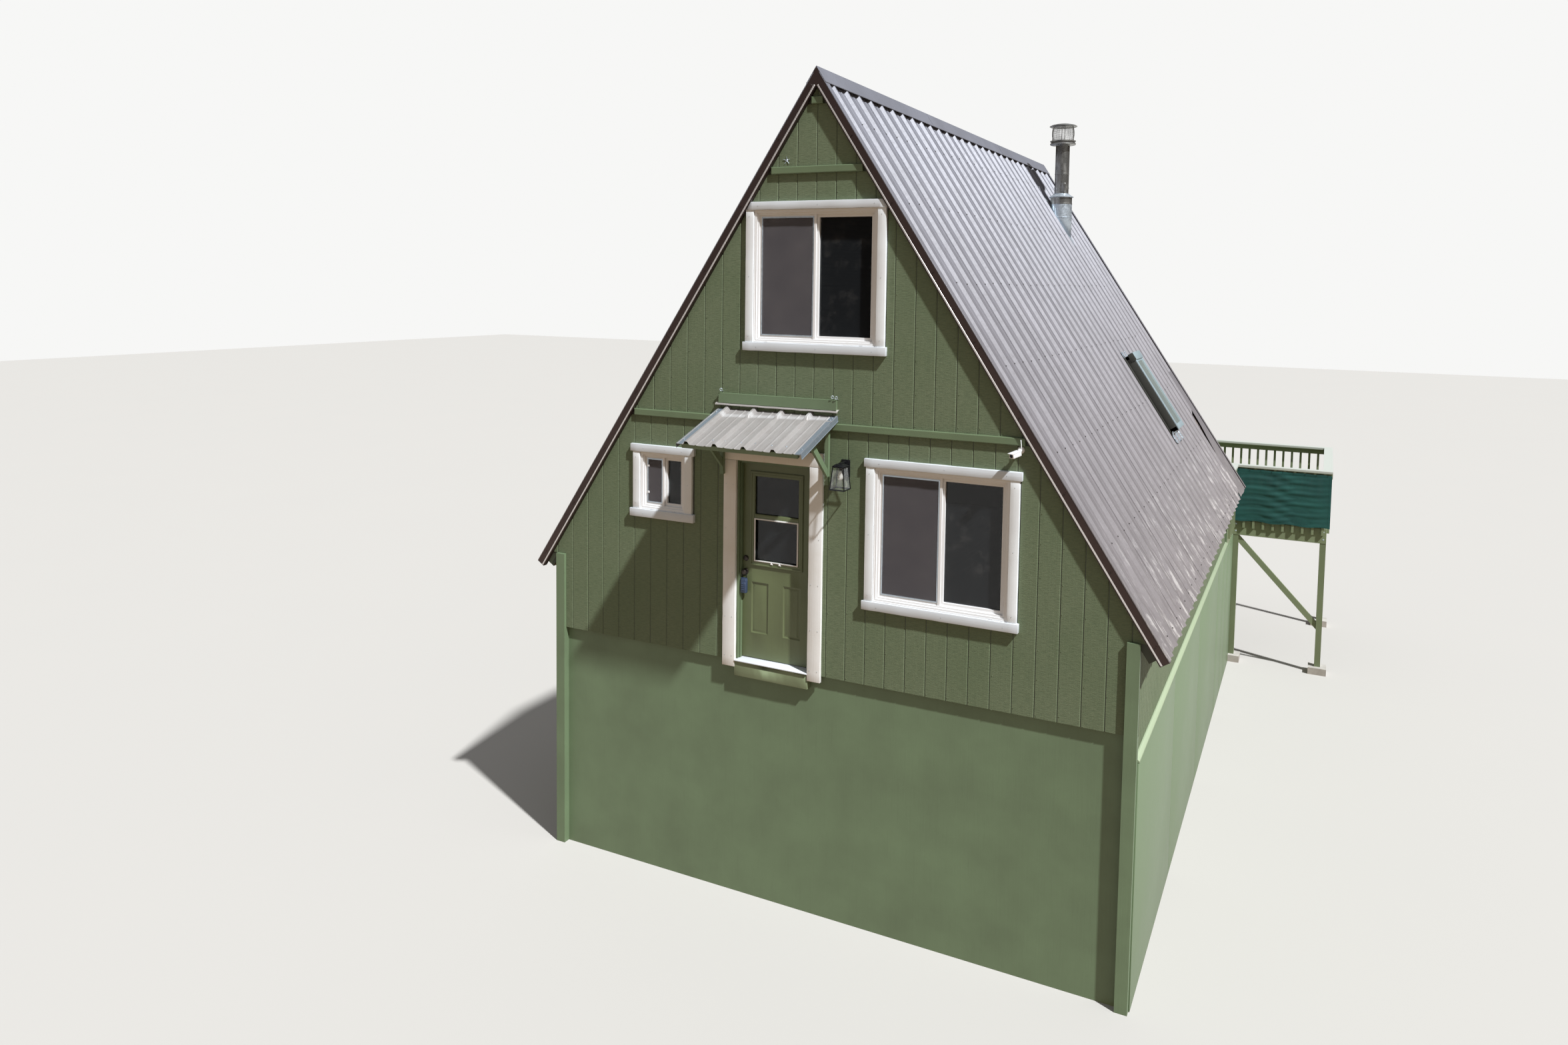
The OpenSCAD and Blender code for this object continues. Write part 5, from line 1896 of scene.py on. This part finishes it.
def add_ball(name, centre, radius, divisions):
    """A ball, divided round and from pole to pole."""
    deselect()
    bpy.ops.mesh.primitive_uv_sphere_add(
        segments=divisions[0], ring_count=divisions[1], radius=radius, location=centre
    )
    return settle(name)


def widen(vertex, axis, factor):
    """Moves a vertex away from an upright axis, or towards it."""
    vertex.co.x = axis.x + (vertex.co.x - axis.x) * factor
    vertex.co.y = axis.y + (vertex.co.y - axis.y) * factor


def clear_bulb():
    """A pear-shaped bulb, pulled out of a sphere towards its socket."""
    middle_z = LANTERN_LOW + 0.115
    bulb = add_ball("lantern_bulb", LANTERN + Vector((0, 0, middle_z)), BULB_R, (20, 14))
    for vertex in bulb.data.vertices:
        rise = (vertex.co.z - middle_z) / BULB_R
        if rise > 0:
            vertex.co.z = middle_z + rise * BULB_R * 2
            widen(vertex, LANTERN, 1 - 0.35 * rise)
    activate(bulb)
    bpy.ops.object.shade_smooth()
    return bulb


def lantern_glass():
    """Four panes inside the bars, open above and below."""
    depth = LANTERN_HIGH - LANTERN_LOW - 0.012
    middle_z = (LANTERN_LOW + LANTERN_HIGH) / 2
    glass = square_cone("lantern_glass", 0.070 * math.sqrt(2), 0.052 * math.sqrt(2), depth, middle_z)
    remove_faces(glass, lambda face: abs(face.normal.z) > 0.9)
    modify(glass, "SOLIDIFY", thickness=0.0025, offset=-1.0)
    return glass


clear_glass = Finish("clear_glass", "pane", Roughness=0.05, Alpha=0.2)
glass_dust = clear_glass.spot(clear_glass.noise(22.0), 0.45, 0.8)
clear_glass.paint(
    Base_Color=clear_glass.blend(glass_dust, (0.5, 0.53, 0.55), (0.75, 0.72, 0.66)),
    Alpha=0.07 + glass_dust * 0.12,
)
bulb_glass = Finish("bulb_glass", "pane", Roughness=0.08)
bulb_cloud = bulb_glass.noise(30.0, detail=3.0)
bulb_glass.paint(
    Base_Color=bulb_glass.blend(bulb_cloud, (0.7, 0.68, 0.62), (0.85, 0.84, 0.8)),
    Alpha=0.5 + bulb_cloud * 0.25,
)
hand_over(cage(), lantern_black, ["wall_lantern"])
hand_over(lantern_glass(), clear_glass)
hand_over(clear_bulb(), bulb_glass)

# %% [markdown]
# ## The wall camera and the small fitting
#
# The camera is a box with a hood on a ball joint, with a short stick aerial. High on the gable
# there is a small fitting of five short spokes on a hub.

# %% Build both
CAM = Vector((2.020, FRONT_Y, FLOOR_Z + 2.378))
CAMERA_BASE = [(0, 0.032), (0.006, 0.032), (0.014, 0.026), (0.022, 0.014), (0.05, 0.012)]
LENS_RING = [(0, 0.017), (0.002, 0.017), (0.003, 0.013), (0.0015, 0.010)]
CAM_TURN = (
    Matrix.Translation(CAM + Vector((-0.004, -0.062, -0.020)))
    @ Matrix.Rotation(math.radians(-25), 4, "Z")
    @ Matrix.Rotation(math.radians(10), 4, "X")
)


def wall_camera():
    """Base, ball joint, turned body with its hood, and the aerial."""
    base = turned("base", CAM, OUTWARD, CAMERA_BASE)
    ball = add_ball("ball", CAM + Vector((0, -0.056, 0)), 0.019, (18, 10))
    body = eased_box("body", (-0.026, -0.104, -0.024), (0.026, 0.006, 0.022), 0.007, 3)
    hood = eased_box("hood", (-0.029, -0.118, 0.020), (0.029, 0.0, 0.0245), 0.002, 2)
    for piece in (body, hood):
        place(piece, CAM_TURN)
    foot, tip = CAM + Vector((0.018, -0.055, 0.0)), CAM + Vector((0.006, -0.050, 0.095))
    aerial = soften(add_rod("aerial", foot, tip, 0.0045, 10, 0.0035), 0.001, 1)
    return join("wall_camera", [base, ball, body, hood, aerial])


def spoked_fitting():
    """A round hub with five thin spokes."""
    centre = Vector((-0.320, FRONT_Y, FLOOR_Z + 4.984))
    hub = [(0, 0.014), (0.004, 0.014), (0.009, 0.009), (0.012, 0.004)]
    parts = [turned("hub", centre, OUTWARD, hub, 14)]
    start = centre + Vector((0, -0.006, 0))
    for n in range(5):
        angle = math.radians(20 + 72 * n)
        end = start + Vector((math.cos(angle) * 0.038, -0.004, math.sin(angle) * 0.038))
        parts.append(add_rod("spoke", start, end, 0.0032, 8, 0.002))
    return join("spoked_fitting", parts)


hand_over(wall_camera(), camera_plastic, ["security_camera"])
lens_ring = turned("camera_lens", (0, -0.103, -0.001), OUTWARD, LENS_RING)
hand_over(place(lens_ring, CAM_TURN), lantern_black)
hand_over(spoked_fitting(), zinc)

# %% [markdown]
# ## The flue
#
# A wide zinc sleeve stands on the roof, with a sloping collar that sheds rain. The pipe above
# carries a double flange, a wire screen that keeps sparks in, and a shallow domed cap. Turned
# rings make the sheet-metal parts. The screen is real wire, because its open mesh shows
# against the sky.

# %% Build the flue's sleeve, pipe and cap
FLUE = Vector((0.640, 7.340, FLOOR_Z))
UPWARD = Vector((0, 0, 1))
SCREEN_H = 0.222


def flue_rings(name, profile):
    """Turned sheet metal round the flue; the profile lists heights over the floor and radii."""
    return turned(name, FLUE, UPWARD, profile, 48, 30)


SLEEVE = [(4.50, 0.162), (4.86, 0.162), (4.863, 0.1655)]
SLEEVE += [(4.872, 0.1655), (4.875, 0.162), (5.075, 0.162)]


def flue_sleeve():
    """The sleeve, cut along the roof, its spread skirt, its rain collar and its seam."""
    body = flue_rings("sleeve", SLEEVE)
    across, height = roof_point(1.0, PAN_DEPTH)
    normal = (math.sin(PITCH), 0, math.cos(PITCH))
    cut(body, (across, 0, height), normal, clear_inner=True, fill=True)
    s_mid = FLUE.x / math.cos(PITCH) + 0.02
    skirt = add_rod("skirt", (s_mid, FLUE.y, -0.034), (s_mid, FLUE.y, -0.020), 0.26, 40, 0.21)
    for vertex in skirt.data.vertices:
        vertex.co.x = s_mid + (vertex.co.x - s_mid) * 1.75
    place(skirt, slope_turn(1))
    collar = flue_rings("collar", [(5.172, 0.180), (5.180, 0.182), (5.222, 0.114), (5.232, 0.112)])
    seam = FLUE + Vector((-0.07, -0.1525, 4.72)), FLUE + Vector((-0.052, -0.140, 5.07))
    return join("flue_sleeve", [body, skirt, collar, eased_box("seam", *seam, 0.002)])


def sleeve_band():
    """The bare steel neck of the sleeve, which shows dark under the pale collar."""
    neck = [(5.066, 0.160), (5.068, 0.1645), (5.080, 0.1645), (5.084, 0.1605), (5.178, 0.1605)]
    return flue_rings("sleeve_band", neck)


FLUE_PIPE = [(5.225, 0.104), (5.52, 0.104), (5.523, 0.107)]
FLUE_PIPE += [(5.534, 0.107), (5.537, 0.104), (5.965, 0.104)]
FLANGE = [(5.955, 0.120), (5.966, 0.183), (5.978, 0.192), (5.988, 0.190), (5.996, 0.176)]
FLANGE += [(6.010, 0.176), (6.016, 0.190), (6.026, 0.192), (6.032, 0.172)]
STRAP = [(5.300, 0.1055), (5.303, 0.1075), (5.325, 0.1075), (5.328, 0.1055)]
FLUE_CAP = [(6.238, 0.196), (6.243, 0.205), (6.249, 0.204), (6.264, 0.172)]
FLUE_CAP += [(6.277, 0.120), (6.286, 0.062), (6.289, 0.02)]


def flue_pipe():
    """The pipe with its seam, strap and flange, and the cap on four stays."""
    pipe = flue_rings("pipe", FLUE_PIPE)
    flange = flue_rings("flange", FLANGE)
    seam = FLUE + Vector((-0.050, -0.0965, 5.235)), FLUE + Vector((-0.036, -0.088, 5.95))
    strap = flue_rings("strap", STRAP)
    tongue = FLUE + Vector((0.02, -0.112, 5.255)), FLUE + Vector((0.085, -0.088, 5.385))
    cap = flue_rings("cap", FLUE_CAP)
    parts = [pipe, flange, eased_box("seam", *seam, 0.002), strap]
    parts += [eased_box("tongue", *tongue, 0.01, 3), cap]
    for n in range(4):
        angle = math.radians(20 + 90 * n)
        way = Vector((math.cos(angle), math.sin(angle), 0))
        foot = FLUE + way * 0.158 + UPWARD * 6.02
        head = FLUE + way * 0.150 + UPWARD * 6.244
        parts.append(add_rod("stay", foot, head, 0.005, 8))
    return join("flue_pipe_and_cap", parts)


def spark_screen():
    """An open drum, divided by level cuts and bulged; Wireframe turns its edges into wires."""
    deselect()
    bpy.ops.mesh.primitive_cylinder_add(
        vertices=56,
        radius=0.150,
        depth=SCREEN_H,
        end_fill_type="NOTHING",
        location=FLUE + Vector((0, 0, 6.136)),
    )
    drum = settle("spark_screen")
    low = FLOOR_Z + 6.025
    for n in range(1, 15):
        cut(drum, (0, 0, low + SCREEN_H * n / 15), (0, 0, 1))
    for vertex in drum.data.vertices:
        widen(vertex, FLUE, 1 + 0.10 * math.sin(math.pi * (vertex.co.z - low) / SCREEN_H))
    return modify(drum, "WIREFRAME", thickness=0.0028)


hand_over(flue_sleeve(), zinc, ["chimney_flashing"])
hand_over(sleeve_band(), flue_steel)
hand_over(flue_pipe(), flue_steel, ["chimney"])
hand_over(spark_screen(), flue_steel)

# %% [markdown]
# ## The roof window
#
# Its curb is dark, and the cladding round the glass is a pale blue-grey. Below it and at its
# upper corner lies soft flashing that was beaten down over the ribs and left crumpled, so the
# points of its grid are nudged at random.

# %% Build the roof window and its apron
WINDOW_S = (3.54, 4.72)
WINDOW_Y = (5.79, 6.34)


def roof_boxes(name, rows):
    """Eased bars on the right slope. Each row is s0, s1, y0, y1, low, high and the easing."""
    bars = []
    for s0, s1, y0, y1, low, high, easing in rows:
        bars.append(eased_box("bar", (s0, y0, low), (s1, y1, high), easing, 2))
    return place(join(name, bars), slope_turn(1))


def roof_window_curb():
    (s0, s1), (y0, y1) = WINDOW_S, WINDOW_Y
    rows = [
        (s0, s1, y0, y0 + 0.052, -0.03, 0.084, 0.004),
        (s0, s1, y1 - 0.052, y1, -0.03, 0.084, 0.004),
        (s0, s0 + 0.055, y0, y1, -0.03, 0.084, 0.004),
        (s1 - 0.055, s1, y0, y1, -0.03, 0.084, 0.004),
        (s0 - 0.02, s1 + 0.02, y0 - 0.035, y0 - 0.002, -0.030, -0.012, 0.003),
        (s0 - 0.02, s1 + 0.02, y1 + 0.002, y1 + 0.035, -0.030, -0.012, 0.003),
        # Painted shade: a thin dark plate on the side of the blind's box.
        (s0 - 0.010, s0 + 0.098, y0 - 0.0105, y0 - 0.006, 0.032, 0.106, 0.001),
    ]
    return roof_boxes("roof_window_curb", rows)


def roof_window_cladding():
    """The blind's box across the head, and the cover rails round the glass."""
    (s0, s1), (y0, y1) = WINDOW_S, WINDOW_Y
    rows = [
        (s0 - 0.012, s0 + 0.10, y0 - 0.008, y1 + 0.008, 0.030, 0.112, 0.006),
        (s0 + 0.09, s1, y0 + 0.002, y0 + 0.072, 0.082, 0.0995, 0.006),
        (s0 + 0.09, s1, y1 - 0.072, y1 - 0.002, 0.082, 0.0995, 0.006),
        (s1 - 0.075, s1 - 0.002, y0 + 0.06, y1 - 0.06, 0.080, 0.0965, 0.006),
        (s0 + 0.08, s0 + 0.13, y0 + 0.06, y1 - 0.06, 0.078, 0.090, 0.004),
    ]
    return roof_boxes("roof_window_cladding", rows)


def crumpled_sheet(name, s0, s1, y0, y1, seed, climb):
    """Soft flashing laid over the ribs; its upper edge climbs the curb if climb is not 0."""
    deselect()
    bpy.ops.mesh.primitive_grid_add(x_subdivisions=22, y_subdivisions=int((y1 - y0) / 0.015), size=1)
    bpy.ops.transform.resize(value=(s1 - s0, y1 - y0, 1))
    bpy.ops.transform.translate(value=((s0 + s1) / 2, (y0 + y1) / 2, 0))
    sheet = settle(name)
    random.seed(seed)
    for vertex in sheet.data.vertices:
        along = (vertex.co.x - s0) / (s1 - s0)
        offset = (vertex.co.y - FIRST_RIB + RIB_PITCH / 2) % RIB_PITCH - RIB_PITCH / 2
        over_rib = max(0.0, min(1.0, (0.060 - abs(offset)) / 0.045))
        vertex.co.z = -0.016 + over_rib * 0.020 + random.uniform(-0.004, 0.006)
        vertex.co.z += max(0.0, 0.3 - along) * climb
        vertex.co.x += random.uniform(-0.0025, 0.0025)
        if along > 0.95:
            vertex.co.x += 0.008 * math.sin(40 * vertex.co.y)
    modify(sheet, "SOLIDIFY", thickness=0.0015, offset=1.0)
    return place(sheet, slope_turn(1))


cladding_blue = plain_metal(
    "cladding_blue", "skylight_frame", (0.33, 0.41, 0.44), (0.2, 0.24, 0.26), 0.3, 0.4
)
hand_over(roof_window_curb(), skylight_grey, ["skylight"])
sky_glass = Finish("sky_glass", "pane", Metallic=0.15, Alpha=0.93)
sky_dust = sky_glass.noise(4.0, (1, 1, 0.3), 5.0)
sky_glass.paint(
    Base_Color=sky_glass.blend(sky_dust, (0.23, 0.275, 0.27), (0.31, 0.35, 0.32)),
    Roughness=0.1 + sky_dust * 0.15,
)
hand_over(roof_window_cladding(), cladding_blue)
head_s, foot_s = WINDOW_S
apron = crumpled_sheet("roof_window_apron", foot_s - 0.015, foot_s + 0.155, 5.735, 6.395, 31, 0.10)
corner = crumpled_sheet("corner", head_s - 0.085, head_s + 0.010, 5.72, 5.93, 37, 0.0)
hand_over(join("roof_window_flashings", [apron, corner]), zinc)

# %% [markdown]
# ## The deck's boards and joists
#
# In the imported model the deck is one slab. Here it becomes boards on joists, with a rim board
# round them: boards are boxes with eased edges, all of one width, and the last one is ripped
# to what is left. The gaps between the boards let light through.

# %% Lay the deck
DECK_LOW, DECK_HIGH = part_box("deck_floor")
DECK_Y0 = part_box("deck_brace")[0].y - 0.030
PLANK = 0.140
PLANK_T = 0.038
RIM_T = 0.038
JOIST_PITCH = 0.41
BOLT_DROPS = (0.10, 0.22)
FAR_POSTS_X = (-2.996, -0.501, 1.994, 4.445)
NEAR_POSTS_X = (3.134, 4.445)


def deck_boards():
    boards = []
    y = DECK_LOW.y
    while y < DECK_HIGH.y - 0.02:
        y1 = min(y + PLANK, DECK_HIGH.y)
        right = DECK_HIGH.x if y >= DECK_Y0 - 0.001 else HALF_W
        if y < DECK_Y0 < y1:
            y1 = DECK_Y0
        boards.append(eased_box("board", (DECK_LOW.x, y, DECK_Z - PLANK_T), (right, y1, DECK_Z), 0.004))
        y = y1 + 0.006
    return join("deck_boards", boards)


def deck_joists():
    low, high = DECK_LOW.z, DECK_Z - PLANK_T - 0.001
    x0, x1, y0, y1 = DECK_LOW.x, DECK_HIGH.x, DECK_LOW.y, DECK_HIGH.y
    rims = [
        ((x0, y0, low), (HALF_W, y0 + RIM_T, high)),
        ((HALF_W - RIM_T, y0 + RIM_T, low), (HALF_W, DECK_Y0 + RIM_T, high)),
        ((HALF_W, DECK_Y0, low), (x1, DECK_Y0 + RIM_T, high)),
        ((x1 - RIM_T, DECK_Y0 + RIM_T, low), (x1, y1, high)),
        ((x0, y1 - RIM_T, low), (x1 - RIM_T, y1, high)),
        ((x0, y0 + RIM_T, low), (x0 + RIM_T, y1 - RIM_T, high)),
    ]
    x = x0 + JOIST_PITCH
    while x < x1 - 0.1:
        start = y0 + RIM_T if x < HALF_W - RIM_T - 0.02 else DECK_Y0 + RIM_T
        rims.append(((x, start, low + 0.02), (x + RIM_T, y1 - RIM_T, high)))
        x += JOIST_PITCH
    return join("deck_joists", [eased_box("joist", a, b, 0.003) for a, b in rims])


def post_bolts():
    """Washers and bolt heads where posts and the brace meet the rim."""
    spots = [(x, DECK_HIGH.y + 0.0005, DECK_Z - drop) for x in FAR_POSTS_X for drop in BOLT_DROPS]
    far = nail_heads("bolts", spots, 0.014, INWARD)
    spots = [(x, DECK_Y0 - 0.0005, DECK_Z - drop) for x in NEAR_POSTS_X for drop in BOLT_DROPS]
    return join("deck_bolts", [far, nail_heads("bolts", spots, 0.014)])


hand_over(deck_boards(), deck_paint, ["deck_floor"])
hand_over(deck_joists(), deck_paint)
hand_over(post_bolts(), zinc)

# %% [markdown]
# ## The shade cloth
#
# A length of knitted shade cloth is tied to the near rail. It is pulled tight at its top and
# its ends, so it wrinkles in short level waves and lifts a little at the foot between its ties.
# One function gives those waves, and both the cloth and its sewn hem follow it.

# %% Hang the shade cloth
CLOTH_LOW, CLOTH_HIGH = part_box("shade_cloth")
CLOTH_Y = (CLOTH_LOW.y + CLOTH_HIGH.y) / 2
HEM_W = 0.035


def cloth_point(x, z):
    """The place of a point of the cloth, from where it would be if it were flat."""
    u = (x - CLOTH_LOW.x) / (CLOTH_HIGH.x - CLOTH_LOW.x)
    v = (z - CLOTH_LOW.z) / (CLOTH_HIGH.z - CLOTH_LOW.z)
    slack = math.sin(math.pi * min(1, max(0, u))) ** 0.5 * (1 - v) ** 0.4 * (0.35 + 0.65 * v)
    waves = math.sin(34 * z + 2.2 * math.sin(5 * x) + 3 * x)
    waves += 0.6 * math.sin(71 * z - 6 * x + math.sin(9 * x))
    folds = math.sin(8.5 * x + 1.3) * (1 - v) ** 2
    y = CLOTH_Y - 0.008 * slack * waves - 0.010 * folds * math.sin(math.pi * u)
    lift = (1 - v) ** 6 * 0.022 * (0.5 + 0.5 * math.sin(13 * x + 0.8))
    lift -= v ** 8 * 0.008 * (0.5 + 0.5 * math.sin(21 * x))
    return Vector((x, min(y, CLOTH_HIGH.y + 0.001), z + lift))


def cloth_grid(name, x0, x1, z0, z1, columns, rows, thickness, proud=0.0):
    """A fine grid that follows cloth_point, with the cloth's thickness."""
    deselect()
    bpy.ops.mesh.primitive_grid_add(
        x_subdivisions=columns, y_subdivisions=rows, size=1, rotation=(math.pi / 2, 0, 0)
    )
    grid = settle(name)
    for vertex in grid.data.vertices:
        x = x0 + (vertex.co.x + 0.5) * (x1 - x0)
        z = z0 + (vertex.co.z + 0.5) * (z1 - z0)
        vertex.co = cloth_point(x, z) - Vector((0, proud, 0))
    modify(grid, "SOLIDIFY", thickness=thickness, offset=0)
    return smooth(grid, 50)


def cloth_hem():
    x0, x1, z0, z1 = CLOTH_LOW.x, CLOTH_HIGH.x, CLOTH_LOW.z, CLOTH_HIGH.z
    strips = [
        (x0, x1, z1 - HEM_W, z1, 90, 3),
        (x0, x1, z0, z0 + HEM_W, 90, 3),
        (x1 - HEM_W, x1, z0 + HEM_W, z1 - HEM_W, 3, 60),
        (x0, x0 + HEM_W, z0 + HEM_W, z1 - HEM_W, 3, 60),
    ]
    return join("shade_cloth_hem", [cloth_grid("hem", *strip, 0.0016, 0.0012) for strip in strips])


def knitted_cloth():
    finish = Finish("knitted_cloth", "cloth_green", Roughness=0.85)
    rows = finish.maths("SINE", finish.axis(2) * 900.0)
    threads = finish.maths("SINE", finish.axis(0) * 1300.0)
    knit = finish.clamp(rows * 0.3 + threads * 0.2 + 0.5)
    fade = finish.noise(2.4, (1, 1, 2.2), 5.0)
    colours = finish.blend(finish.spot(fade, 0.3, 0.75), (0.006, 0.062, 0.055), (0.012, 0.105, 0.088))
    colours = finish.blend(knit * 0.35, colours, (0.003, 0.03, 0.028))
    finish.paint(Base_Color=colours, Roughness=0.7 + knit * 0.2, Alpha=0.99 - knit * 0.1)
    finish.relief(knit, 0.3, 0.0008)
    return finish


cloth_finish = knitted_cloth()
flat_cloth = CLOTH_LOW.x, CLOTH_HIGH.x, CLOTH_LOW.z, CLOTH_HIGH.z
cloth = cloth_grid("shade_cloth_sheet", *flat_cloth, 110, 76, 0.0012)
hem = cloth_hem()
ties = []
for n in range(9):
    at = cloth_point(CLOTH_LOW.x + 0.06 + n * 0.165, CLOTH_HIGH.z - 0.018)
    ends = at - Vector((0.004, 0.0045, 0.012)), at + Vector((0.004, -0.0045, 0.016))
    ties.append(add_rod("tie", *ends, 0.0022, 6))
print("cloth area", round(sum(face.area for face in cloth.data.polygons) / 2, 3))
hand_over(cloth, cloth_finish, ["shade_cloth"])
hand_over(hem, cloth_finish)
hand_over(join("shade_cloth_ties", ties), lantern_black)

# %% [markdown]
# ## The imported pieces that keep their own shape
#
# Boards, posts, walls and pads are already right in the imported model, so they only get their
# finish. A node that a new piece stands for was hidden when that piece was handed over, and it
# takes a finish too.

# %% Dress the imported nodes
main_finishes = [siding_paint, board_paint, white_paint, vinyl, roof_steel, trim_steel, zinc]
main_finishes += [flue_steel, roof_timber, floor_timber, door_paint, dark_bronze, pane]
main_finishes += [lantern_black, camera_plastic, skylight_grey, deck_paint, concrete]
slot_finish = {finish.slot: finish for finish in main_finishes}
node_finish = {
    # Painted shade: these walls show only as groove bottoms, painted dark green.
    "front_wall_left": groove_shade_paint,
    "front_wall_right": groove_shade_paint,
    "front_wall_upper": groove_shade_paint,
    "skirt_right": skirt_paint,
    "skirt_left": skirt_paint,
    "deck_posts": post_paint,
    "deck_rail_near": rail_paint,
    "deck_rail_right": rail_paint,
    "deck_rail_far": rail_paint,
    "skylight_glass": sky_glass,
}
for part in frame["record"]["subparts"]:
    finish = node_finish.get(part["node"]) or slot_finish.get(part["material_slot"])
    if finish:
        dress(nodes[part["node"]], finish)
